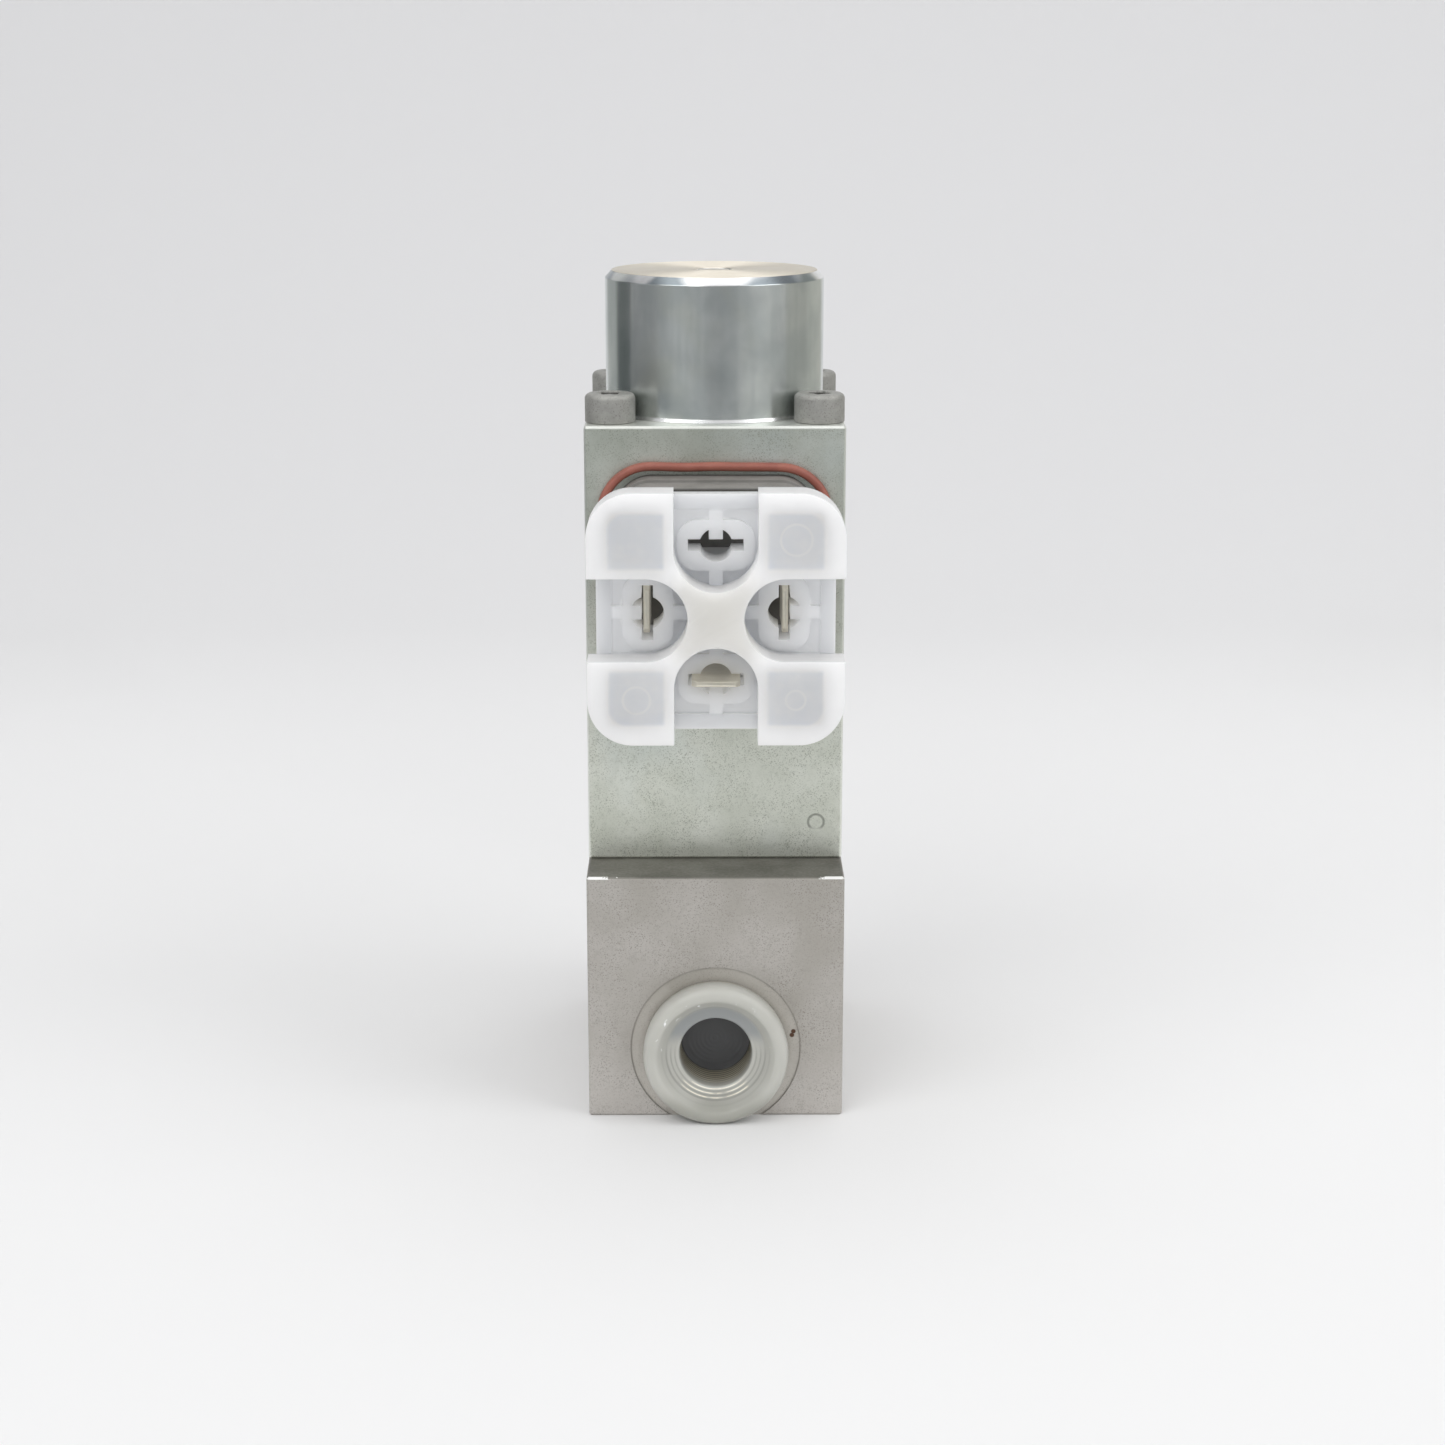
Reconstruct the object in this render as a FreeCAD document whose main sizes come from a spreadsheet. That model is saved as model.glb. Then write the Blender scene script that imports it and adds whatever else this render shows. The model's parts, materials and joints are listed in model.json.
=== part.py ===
import FreeCAD, Part
import math
import os
import re
import Sketcher

# Solenoid-operated seat valve with a 36 mm square solenoid.
# The origin is on the underside of the valve block, below the solenoid axis.
# +Z runs up along that axis, -Y is the side with the electrical connector and
# the front port, and +X is to the right when the connector faces the reader.

# ---------------------------------------------------------------- dimensions

DIMENSIONS = {
    # gaps between pieces: running fit, and pressed, moulded or squeezed fit
    "fit_gap": 0.05,
    "press_gap": 0.01,
    # how far a cutting profile reaches beyond the surface it starts from
    "overshoot": 1.0,
    # valve block
    "block_wide": 36.0,
    "block_deep": 50.0,
    "block_high": 35.5,
    "block_front": 27.0,
    "edge_break": 0.3,
    "front_port_height": 10.2,
    "rear_port_height": 22.5,
    "base_screw_place": 12.0,
    "base_screw_radius": 2.1,
    "base_screw_depth": 9.0,
    # G 1/4 port
    "port_major_radius": 6.5785,
    "port_minor_radius": 5.7225,
    "port_pitch": 1.337,
    "port_depth": 14.0,
    "spotface_radius": 12.0,
    "spotface_depth": 0.3,
    "passage_radius": 3.0,
    # stepped bore for the seat
    "chamber_floor": 3.5,
    "chamber_radius": 5.0,
    "seat_height": 14.0,
    "seat_bore_radius": 7.5,
    "flange_seal_radius": 11.6,
    "flange_seal_depth": 1.8,
    # valve seat, ball and spring
    "seat_hole_radius": 2.0,
    "seat_hole_high": 2.0,
    "seat_cone_high": 1.0,
    "gallery_radius": 2.8,
    "gallery_top": 27.5,
    "gallery_cone_high": 1.5,
    "cross_hole_radius": 1.6,
    "seal_groove_radius": 6.0,
    "seal_groove_wide": 2.0,
    "lower_seal_height": 16.6,
    "upper_seal_height": 29.2,
    "annulus_radius": 5.6,
    "annulus_high": 6.4,
    "ball_radius": 3.0,
    "spring_radius": 2.2,
    "spring_wire": 0.5,
    "spring_turns": 3.0,
    "plate_height": 7.6,
    "plate_hub_high": 0.6,
    "plate_hub_gap": 0.6,
    "plate_rim_high": 0.7,
    "plate_high": 1.5,
    "plate_dish": 0.7,
    "plate_edge": 0.3,
    # solenoid housing
    "housing_wide": 36.0,
    "housing_high": 61.8,
    "coil_bore_radius": 15.0,
    "top_wall": 4.3,
    "cap_spigot_radius": 12.0,
    # end cap on top of the housing
    "cap_radius": 15.5,
    "cap_high": 19.9,
    "cap_bevel_high": 1.1,
    "cap_bevel_deep": 1.0,
    "cap_flare_wide": 0.35,
    "cap_flare_high": 0.5,
    "cap_flare_edge": 0.1,
    "cap_spigot_gap": 0.4,
    "tube_seal_place": 2.0,
    "tube_groove_deep": 1.5,
    "tube_groove_wide": 2.0,
    # housing screws M4 x 70
    "screw_place_x": 14.5,
    "screw_place_y": 13.0,
    "screw_radius": 1.95,
    "screw_hole_radius": 2.0,
    "screw_clearance_radius": 2.2,
    "screw_length": 70.0,
    "screw_head_radius": 3.5,
    "screw_head_high": 4.0,
    "screw_head_round": 0.7,
    "tapped_depth": 12.0,
    "socket_radius": 1.45,
    "socket_lobe_radius": 0.42,
    "socket_lobe_place": 1.55,
    "socket_depth": 2.2,
    # armature, tube and pole
    "stroke": 2.0,
    "rod_radius": 1.5,
    "rod_tip_radius": 1.0,
    "rod_taper_high": 1.0,
    "tube_radius": 8.0,
    "tube_wall": 1.0,
    "tube_foot": 44.0,
    "tube_top": 104.0,
    "pole_flange_high": 3.0,
    "pole_top": 56.0,
    "bush_radius": 2.6,
    "bush_high": 7.5,
    "bush_place": 0.5,
    "gap_disc_thick": 0.4,
    "gap_disc_play": 0.5,
    "gap_disc_bore": 1.8,
    "armature_foot": 58.5,
    "armature_top": 92.0,
    "armature_edge": 0.5,
    "oil_channel_radius": 1.0,
    "rod_grip": 6.0,
    "yoke_high": 5.0,
    # coil
    "bobbin_flange": 1.5,
    "bobbin_hub": 1.0,
    "bobbin_radius": 14.6,
    "winding_radius": 14.2,
    # manual override pin
    "pin_radius": 2.0,
    "pin_head_radius": 2.3,
    "pin_collar_radius": 3.3,
    "pin_collar_high": 1.5,
    "pin_collar_play": 0.2,
    "pin_collar_reserve": 0.5,
    "pin_edge": 0.2,
    "pin_recess": 0.1,
    "pin_groove_place": 4.0,
    "pin_groove_radius": 3.25,
    "pin_groove_wide": 1.5,
    # connector, EN 175301-803 form A: blades 18 mm apart
    "connector_height": 76.9,
    "blade_place": 9.0,
    "blade_wide": 6.3,
    "blade_thick": 0.8,
    "blade_tip": 25.0,
    "earth_tip": 29.0,
    "blade_corner": 0.65,
    "blade_taper": 0.2,
    "blade_foot": 1.6,
    "blade_foot_place": 6.0,
    "lead_place": 7.0,
    "lead_radius": 0.4,
    "base_spigot_radius": 7.8,
    "base_wide": 27.5,
    "base_step": 0.4,
    "base_step_height": 4.5,
    "base_high": 10.5,
    "base_round": 5.0,
    "pedestal_wide": 21.0,
    "pedestal_high": 14.0,
    "pedestal_round": 3.0,
    "nut_radius": 2.0,
    "nut_bore_radius": 1.25,
    "nut_foot": 6.0,
    "gasket_wide": 32.8,
    "gasket_high": 31.4,
    "gasket_hole": 27.8,
    "gasket_round": 7.5,
    "gasket_thick": 2.0,
    # protective cap over the connector blades
    "shield_wide": 33.0,
    "shield_high": 32.7,
    "shield_round": 5.8,
    "shield_front": 32.0,
    "shield_back": 24.8,
    "tray_wide": 30.9,
    "tray_high": 30.9,
    "tray_round": 4.8,
    "tray_front": 26.8,
    "tray_floor": 26.0,
    "tray_wall_place": 13.5,
    "notch_radius": 5.4,
    "notch_root": 3.6,
    "tower_wide": 10.0,
    "tower_thick": 6.6,
    "tower_place": 8.8,
    "tower_round": 2.6,
    "tower_back": 15.0,
    "tower_skin": 5.5,
    "tower_hollow_wide": 8.2,
    "tower_hollow_thick": 4.8,
    "tower_hollow_round": 1.7,
    "contact_place": 8.85,
    "slot_wide": 7.2,
    "slot_thick": 1.5,
    "eye_radius": 2.15,
    "tongue_wide": 1.8,
    "tongue_place": 9.25,
    "rib_wide": 1.8,
    "rib_high": 0.8,
    "rib_root": 0.4,
    "lug_hollow_near": 6.65,
    "lug_hollow_far": 13.75,
    "lug_hollow_round": 0.8,
    "lug_skin": 1.0,
    # port plug
    "plug_stem_radius": 5.6,
    "plug_stem_deep": 5.2,
    "plug_stem_edge": 0.5,
    "plug_flange_radius": 10.25,
    "plug_flange_high": 4.0,
    "plug_flange_round": 1.2,
    "plug_crest_radius": 8.4,
    "plug_dish_radius": 7.0,
    "plug_dish_high": 2.2,
    "plug_cup_radius": 5.1,
    "plug_cup_mouth": 1.8,
    "plug_cup_draft": 0.15,
    "plug_cup_floor": 4.3,
}

doc = FreeCAD.newDocument("solenoid_valve")
sheet = doc.addObject("Spreadsheet::Sheet", "dims")
for row, (alias, value) in enumerate(DIMENSIONS.items(), start=1):
    sheet.set(f"A{row}", alias)
    sheet.set(f"B{row}", str(value))
    sheet.setAlias(f"B{row}", alias)
doc.recompute()

# ------------------------------------------------------------------- helpers

parts = []


def bound(text):
    """The expression with every dimension's name pointing at the sheet."""
    return re.sub(r"\b[a-z][a-z_]*\b(?!\()", lambda word: "dims." + word.group(), text)


def size(text):
    """The value of an expression in millimetres."""
    return float(sheet.evalExpression(text))


def finish(piece, name, place=None, turn=0.0):
    """Label a sub-part, stand it in its place and list it for export."""
    piece.Label = name
    if place:
        axis = FreeCAD.Vector(1, 0, 0)
        piece.Placement = FreeCAD.Placement(FreeCAD.Vector(0, 0, 0), FreeCAD.Rotation(axis, turn))
        for letter, text in zip("xyz", place):
            piece.setExpression(f"Placement.Base.{letter}", bound(text))
    doc.recompute()
    parts.append(piece)
    return piece


def new_body(name):
    return doc.addObject("PartDesign::Body", name + "_body")


def new_sketch(body, name, role, offset="0", shift=("0", "0")):
    """An empty sketch on one of the body's origin planes, moved along its normal."""
    plane = next(item for item in body.Origin.OriginFeatures if item.Role == role)
    sketch = body.newObject("Sketcher::SketchObject", name)
    sketch.AttachmentSupport = [(plane, "")]
    sketch.MapMode = "FlatFace"
    sketch.setExpression("AttachmentOffset.Base.x", bound(shift[0]))
    sketch.setExpression("AttachmentOffset.Base.y", bound(shift[1]))
    sketch.setExpression("AttachmentOffset.Base.z", bound(offset))
    return sketch


def pin_point(sketch, item, point, place):
    """Fix a point of a sketch element at a pair of expressions."""
    for kind, text in zip(("DistanceX", "DistanceY"), place):
        number = sketch.addConstraint(Sketcher.Constraint(kind, -1, 1, item, point, size(text)))
        sketch.setExpression(f"Constraints[{number}]", bound(text))


def outline(body, name, role, points, offset="0", shift=("0", "0")):
    """A closed outline of straight lines through pairs of expressions."""
    sketch = new_sketch(body, name, role, offset, shift)
    corners = [FreeCAD.Vector(size(across), size(up), 0) for across, up in points]
    count = len(corners)
    for index in range(count):
        sketch.addGeometry(Part.LineSegment(corners[index], corners[(index + 1) % count]))
    for index in range(count):
        sketch.addConstraint(Sketcher.Constraint("Coincident", index, 2, (index + 1) % count, 1))
    for index, point in enumerate(points):
        pin_point(sketch, index, 1, point)
    return sketch


def box_outline(body, name, role, wide, high, centre=("0", "0"), offset="0"):
    """A rectangle about a centre."""
    across, up = centre
    points = [(f"{across} + {sx} * ({wide}) / 2", f"{up} + {sy} * ({high}) / 2")
              for sx, sy in ((-1, -1), (1, -1), (1, 1), (-1, 1))]
    return outline(body, name, role, points, offset)


def rounded_outline(body, name, wide, high, corner, offset="0", centre=("0", "0")):
    """A rectangle with round corners, drawn across the body's own Z axis."""
    sketch = new_sketch(body, name, "XY_Plane", offset)
    normal = FreeCAD.Vector(0, 0, 1)
    radius = size(corner)
    places = []
    for sx, sy in ((1, 1), (-1, 1), (-1, -1), (1, -1)):
        places.append((f"{centre[0]} + {sx} * (({wide}) / 2 - ({corner}))",
                       f"{centre[1]} + {sy} * (({high}) / 2 - ({corner}))"))
    for quarter, place in enumerate(places):
        middle = FreeCAD.Vector(size(place[0]), size(place[1]), 0)
        start = quarter * math.pi / 2
        circle = Part.Circle(middle, normal, radius)
        sketch.addGeometry(Part.ArcOfCircle(circle, start, start + math.pi / 2))
    for quarter in range(4):
        begin = sketch.getPoint(quarter, 2)
        sketch.addGeometry(Part.LineSegment(begin, sketch.getPoint((quarter + 1) % 4, 1)))
    for quarter, place in enumerate(places):
        pin_point(sketch, quarter, 3, place)
        number = sketch.addConstraint(Sketcher.Constraint("Radius", quarter, radius))
        sketch.setExpression(f"Constraints[{number}]", bound(corner))
        line = 4 + quarter
        sketch.addConstraint(Sketcher.Constraint("Tangent", quarter, 2, line, 1))
        sketch.addConstraint(Sketcher.Constraint("Tangent", line, 2, (quarter + 1) % 4, 1))
    return sketch


def circles(body, name, role, centres, radius, offset="0"):
    """Equal circles about pairs of expressions."""
    sketch = new_sketch(body, name, role, offset)
    normal = FreeCAD.Vector(0, 0, 1)
    for index, place in enumerate(centres):
        centre = FreeCAD.Vector(size(place[0]), size(place[1]), 0)
        sketch.addGeometry(Part.Circle(centre, normal, size(radius)))
        pin_point(sketch, index, 3, place)
        number = sketch.addConstraint(Sketcher.Constraint("Radius", index, size(radius)))
        sketch.setExpression(f"Constraints[{number}]", bound(radius))
    return sketch


def add(body, kind, name, sketch, **expressions):
    """A PartDesign feature made from a sketch, its sizes bound to the sheet."""
    feature = body.newObject("PartDesign::" + kind, name)
    feature.Profile = sketch
    for prop, text in expressions.items():
        feature.setExpression(prop, bound(text))
    return feature


def pad(body, name, sketch, length):
    feature = add(body, "Pad", name, sketch, Length=length)
    doc.recompute()
    return feature


def check_cut(body, feature, before):
    """A cut has to take material away."""
    doc.recompute()
    if not body.Shape.Volume < before - 1e-6:
        raise ValueError(feature.Name + " cuts nothing")
    return feature


def cut(body, name, sketch, length, forward=False):
    """A pocket against the sketch's normal, or along it when forward."""
    before = body.Shape.Volume
    feature = add(body, "Pocket", name, sketch, Length=length)
    feature.Reversed = forward
    return check_cut(body, feature, before)


def groove(body, name, sketch, axis):
    before = body.Shape.Volume
    feature = add(body, "Groove", name, sketch)
    feature.ReferenceAxis = (sketch, [axis])
    feature.Angle = 360
    return check_cut(body, feature, before)


def repeat(body, name, features, count):
    """Copies of features about the body's own Z axis."""
    pattern = body.newObject("PartDesign::PolarPattern", name)
    pattern.Originals = features
    pattern.Axis = (features[0].Profile[0], ["N_Axis"])
    pattern.Angle = 360
    pattern.Occurrences = count
    body.Tip = pattern
    doc.recompute()
    return pattern


def dress(body, kind, name, amount, chosen):
    """A fillet or chamfer on the edges of the body that the test chooses."""
    base = body.Tip
    edges = [f"Edge{number}" for number, edge in enumerate(base.Shape.Edges, start=1) if chosen(edge)]
    if not edges:
        raise ValueError(name + " finds no edge")
    feature = body.newObject("PartDesign::" + kind, name)
    feature.Base = (base, edges)
    prop = "Radius" if kind == "Fillet" else "Size"
    feature.setExpression(prop, bound(amount))
    doc.recompute()
    return feature


def rim(radius, height):
    """A test for the circular edge of a turned piece at a radius and height."""
    def test(edge):
        if edge.Curve.TypeId != "Part::GeomCircle":
            return False
        close = abs(edge.Curve.Radius - size(radius)) < 1e-4
        return close and abs(edge.Curve.Center.z - size(height)) < 1e-4
    return test


def turned(name, profile):
    """A body turned about its own Z axis from (radius, height) pairs."""
    body = new_body(name)
    sketch = outline(body, name + "_profile", "XZ_Plane", profile)
    feature = add(body, "Revolution", name + "_turned", sketch)
    feature.ReferenceAxis = (sketch, ["V_Axis"])
    feature.Angle = 360
    doc.recompute()
    return body


def ring(name, radius, thickness, height):
    """An O-ring: a torus about the Z axis."""
    torus = doc.addObject("Part::Torus", name + "_torus")
    torus.setExpression("Radius1", bound(radius))
    torus.setExpression("Radius2", bound(thickness))
    return finish(torus, name, ("0", "0", height))


def seal_between(name, inner, outer, height):
    """An O-ring that fills the space between two radii."""
    return ring(name, f"({inner} + {outer}) / 2", f"({outer} - {inner}) / 2 - press_gap", height)


# Places along the axis that several pieces share.
HOUSING_TOP = "(block_high + housing_high)"
CAP_TOP = "(block_high + housing_high + cap_high)"
BALL_HEIGHT = "(seat_height - sqrt(ball_radius ^ 2 - seat_hole_radius ^ 2) - fit_gap)"
COIL_FOOT = "(block_high + pole_flange_high + yoke_high)"
COIL_TOP = "(block_high + housing_high - top_wall)"
COLLAR_HEIGHT = "(tube_top - fit_gap)"
SCREW_CENTRES = [(f"{sx} * screw_place_x", f"{sy} * screw_place_y") for sx in (-1, 1) for sy in (-1, 1)]

# --------------------------------------------------------------- valve block


def port_profile(face, inward, passage_end):
    """Half section of a G 1/4 port, as (Y, radius) pairs from its face inwards.

    The thread is a row of 60 degree rings between the minor and major radius.
    """
    def at(depth):
        return f"({face} + {inward} * ({depth}))"

    points = [(at("-overshoot"), "0"), (at("-overshoot"), "spotface_radius"),
              (at("spotface_depth"), "spotface_radius")]
    first = "spotface_depth"
    points.append((at(first), "port_major_radius + edge_break"))
    for turn in range(8):
        points.append((at(f"{first} + {turn + 0.5} * port_pitch"), "port_minor_radius"))
        points.append((at(f"{first} + {turn + 1} * port_pitch"), "port_major_radius"))
    points.append((at(f"{first} + 8.5 * port_pitch"), "port_minor_radius"))
    points.append((at("port_depth"), "port_minor_radius"))
    points.append((at("port_depth"), "passage_radius"))
    points.append((passage_end, "passage_radius"))
    points.append((passage_end, "0"))
    return points


def make_valve_block():
    body = new_body("valve_block")
    rear = "block_deep - block_front"
    corners = [(f"{sx} * block_wide / 2", y)
               for sx, y in ((-1, "-block_front"), (1, "-block_front"), (1, rear), (-1, rear))]
    pad(body, "block_pad", outline(body, "block_outline", "XY_Plane", corners), "block_high")
    dress(body, "Chamfer", "block_edges", "edge_break", lambda edge: True)
    bore = [("0", "chamber_floor"), ("chamber_radius", "chamber_floor"),
            ("chamber_radius", "seat_height"), ("seat_bore_radius", "seat_height"),
            ("seat_bore_radius", "block_high - flange_seal_depth"),
            ("flange_seal_radius", "block_high - flange_seal_depth"),
            ("flange_seal_radius", "block_high + overshoot"), ("0", "block_high + overshoot")]
    groove(body, "seat_bore", outline(body, "seat_bore_profile", "XZ_Plane", bore), "V_Axis")
    front = port_profile("-block_front", 1, "-chamber_radius + overshoot")
    sketch = outline(body, "front_port_profile", "YZ_Plane", front, shift=("0", "front_port_height"))
    groove(body, "front_port", sketch, "H_Axis")
    back = port_profile("(block_deep - block_front)", -1, "annulus_radius")
    sketch = outline(body, "rear_port_profile", "YZ_Plane", back, shift=("0", "rear_port_height"))
    groove(body, "rear_port", sketch, "H_Axis")
    sketch = circles(body, "tapped_centres", "XY_Plane", SCREW_CENTRES, "screw_hole_radius", "block_high")
    cut(body, "tapped_holes", sketch, "tapped_depth")
    centres = [("-base_screw_place", "0"), ("base_screw_place", "0")]
    sketch = circles(body, "base_centres", "XY_Plane", centres, "base_screw_radius")
    cut(body, "base_holes", sketch, "base_screw_depth", forward=True)
    finish(body, "valve_block")


def make_seat_insert():
    """Sleeve with the ball's seat at its foot, a cross-drilled gallery and the rod's guide."""
    outer = "(seat_bore_radius - fit_gap)"
    half = "seal_groove_wide / 2"
    profile = [("seat_hole_radius", "seat_height"), (outer, "seat_height")]
    steps = (("lower_seal_height", half, "seal_groove_radius"),
             ("rear_port_height", "annulus_high / 2", "annulus_radius"),
             ("upper_seal_height", half, "seal_groove_radius"))
    for middle, reach, radius in steps:
        low = f"{middle} - {reach}"
        high = f"{middle} + {reach}"
        profile += [(outer, low), (radius, low), (radius, high), (outer, high)]
    profile += [(outer, "block_high - fit_gap"),
                ("rod_radius + fit_gap", "block_high - fit_gap"),
                ("rod_radius + fit_gap", "gallery_top + gallery_cone_high"),
                ("gallery_radius", "gallery_top"),
                ("gallery_radius", "seat_height + seat_hole_high + seat_cone_high"),
                ("seat_hole_radius", "seat_height + seat_hole_high")]
    body = turned("seat_insert", profile)
    for role in ("XZ_Plane", "YZ_Plane"):
        name = "cross_hole_" + role[:2].lower()
        sketch = circles(body, name, role, [("0", "rear_port_height")], "cross_hole_radius",
                         "-seat_bore_radius")
        cut(body, name + "_cut", sketch, "2 * seat_bore_radius", forward=True)
    finish(body, "seat_insert")


def make_valve_ball():
    ball = doc.addObject("Part::Sphere", "ball_sphere")
    ball.setExpression("Radius", bound("ball_radius"))
    finish(ball, "valve_ball", ("0", "0", BALL_HEIGHT))


def make_spring_plate():
    """Plate that centres the spring and cradles the ball in a shallow cone."""
    foot = "plate_height"
    hub = "spring_radius - plate_hub_gap"
    rim_radius = "spring_radius + spring_wire"
    top = f"{foot} + plate_high"
    profile = [("0", f"{foot} - plate_hub_high"), (hub, f"{foot} - plate_hub_high"), (hub, foot),
               (rim_radius, foot), (rim_radius, f"{foot} + plate_rim_high"), ("spring_radius", top),
               ("spring_radius - plate_edge", top), ("0", f"{top} - plate_dish")]
    finish(turned("spring_plate", profile), "spring_plate")


def make_ball_spring():
    body = new_body("ball_spring")
    sketch = circles(body, "wire_section", "XZ_Plane", [("spring_radius", "0")], "spring_wire / 2")
    coil = body.newObject("PartDesign::AdditiveHelix", "spring_coil")
    coil.Profile = sketch
    coil.ReferenceAxis = (sketch, ["V_Axis"])
    coil.Mode = "height-turns-angle"
    coil.setExpression("Height", bound("plate_height - chamber_floor - spring_wire - 2 * fit_gap"))
    coil.setExpression("Turns", bound("spring_turns"))
    doc.recompute()
    finish(body, "ball_spring", ("0", "0", "chamber_floor + spring_wire / 2 + fit_gap"))


def make_seat_seals():
    seal_between("seat_seal_lower", "seal_groove_radius", "seat_bore_radius", "lower_seal_height")
    seal_between("seat_seal_upper", "seal_groove_radius", "seat_bore_radius", "upper_seal_height")


# ----------------------------------------------------- armature and its guide


def make_push_rod():
    tip = f"({BALL_HEIGHT} + ball_radius + fit_gap)"
    top = "(armature_foot + rod_grip - fit_gap)"
    profile = [("0", tip), ("rod_tip_radius", tip), ("rod_tip_radius", "gallery_top - rod_taper_high"),
               ("rod_radius", "gallery_top"), ("rod_radius", top), ("0", top)]
    finish(turned("push_rod", profile), "push_rod")


def make_pole_piece():
    outer = "(tube_radius + tube_wall)"
    inner = "(tube_radius - 2 * press_gap)"
    flange = "(coil_bore_radius - 2 * fit_gap)"
    step = "(block_high + pole_flange_high)"
    bore = "(rod_radius + 4 * fit_gap)"
    bush = "(block_high + bush_place + bush_high)"
    profile = [("bush_radius", "block_high"), (flange, "block_high"), (flange, step), (outer, step),
               (outer, "tube_foot"), (inner, "tube_foot"), (inner, "pole_top"), (bore, "pole_top"),
               (bore, bush), ("bush_radius", bush)]
    finish(turned("pole_piece", profile), "pole_piece")


def make_rod_bush():
    foot = "(block_high + bush_place)"
    top = f"({foot} + bush_high)"
    outer = "bush_radius - 2 * press_gap"
    profile = [("rod_radius + fit_gap", foot), (outer, foot), (outer, top), ("rod_radius + fit_gap", top)]
    finish(turned("rod_bush", profile), "rod_bush")


def make_gap_disc():
    """Non-magnetic disc that keeps the armature from sticking to the pole."""
    top = "pole_top + gap_disc_thick"
    outer = "tube_radius - gap_disc_play"
    profile = [("gap_disc_bore", "pole_top"), (outer, "pole_top"), (outer, top), ("gap_disc_bore", top)]
    finish(turned("gap_disc", profile), "gap_disc")


def make_armature():
    """Plunger with two oil channels along its side and a blind hole for the rod."""
    outer = "(tube_radius - fit_gap)"
    bore = "(rod_radius + press_gap)"
    grip = "(armature_foot + rod_grip)"
    face = f"({outer} - armature_edge)"
    profile = [(bore, "armature_foot"), (face, "armature_foot"), (outer, "armature_foot + armature_edge"),
               (outer, "armature_top - armature_edge"), (face, "armature_top"), ("0", "armature_top"),
               ("0", grip), (bore, grip)]
    body = turned("armature", profile)
    centres = [("-tube_radius", "0"), ("tube_radius", "0")]
    sketch = circles(body, "oil_channels", "XY_Plane", centres, "oil_channel_radius", "armature_top")
    cut(body, "oil_channel_cut", sketch, "armature_top - armature_foot")
    finish(body, "armature")


def make_armature_tube():
    outer = "tube_radius + tube_wall"
    profile = [("tube_radius", "tube_foot"), (outer, "tube_foot"), (outer, "tube_top"),
               ("tube_radius", "tube_top")]
    finish(turned("armature_tube", profile), "armature_tube")


def make_tube_plug():
    """Upper stop of the armature, which also guides and seals the override pin."""
    outer = "(tube_radius - 2 * press_gap)"
    foot = "(armature_top + fit_gap)"
    bore = "(pin_radius + fit_gap)"
    low = "(armature_top + pin_groove_place)"
    high = f"({low} + pin_groove_wide)"
    pocket = "(tube_top - stroke - pin_collar_reserve)"
    wall = "pin_collar_radius + pin_collar_play"
    profile = [(bore, foot), (outer, foot), (outer, "tube_top"), (wall, "tube_top"), (wall, pocket),
               (bore, pocket), (bore, high), ("pin_groove_radius", high), ("pin_groove_radius", low),
               (bore, low)]
    finish(turned("tube_plug", profile), "tube_plug")
    seal_between("override_seal", bore, "pin_groove_radius", f"({low} + {high}) / 2")


def make_override_pin():
    """Stepped pin: a push from above carries the armature down by hand."""
    foot = "(armature_top + 2 * fit_gap)"
    collar_top = f"({COLLAR_HEIGHT} + pin_collar_high)"
    head = f"({CAP_TOP} - pin_recess)"
    profile = [("0", foot), ("pin_radius", foot), ("pin_radius", COLLAR_HEIGHT),
               ("pin_collar_radius", COLLAR_HEIGHT), ("pin_collar_radius", collar_top),
               ("pin_head_radius", collar_top), ("pin_head_radius", f"{head} - pin_edge"),
               ("pin_head_radius - pin_edge", head), ("0", head)]
    finish(turned("override_pin", profile), "override_pin")


# ------------------------------------------------------------ solenoid pieces


def make_solenoid_housing():
    body = new_body("solenoid_housing")
    sketch = box_outline(body, "housing_outline", "XY_Plane", "housing_wide", "housing_wide",
                         offset="block_high")
    pad(body, "housing_pad", sketch, "housing_high")
    dress(body, "Chamfer", "housing_edges", "edge_break", lambda edge: True)
    sketch = circles(body, "coil_bore_centre", "XY_Plane", [("0", "0")], "coil_bore_radius", "block_high")
    cut(body, "coil_bore", sketch, "housing_high - top_wall", forward=True)
    sketch = circles(body, "cap_hole_centre", "XY_Plane", [("0", "0")], "cap_spigot_radius", HOUSING_TOP)
    cut(body, "cap_hole", sketch, "top_wall")
    sketch = circles(body, "screw_hole_centres", "XY_Plane", SCREW_CENTRES, "screw_clearance_radius",
                     HOUSING_TOP)
    cut(body, "screw_holes", sketch, "housing_high")
    sketch = circles(body, "lead_hole_centre", "XZ_Plane", [("0", "connector_height")],
                     "base_spigot_radius + 2 * fit_gap", "housing_wide / 2")
    cut(body, "lead_hole", sketch, "housing_wide / 2")
    finish(body, "solenoid_housing")


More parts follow.
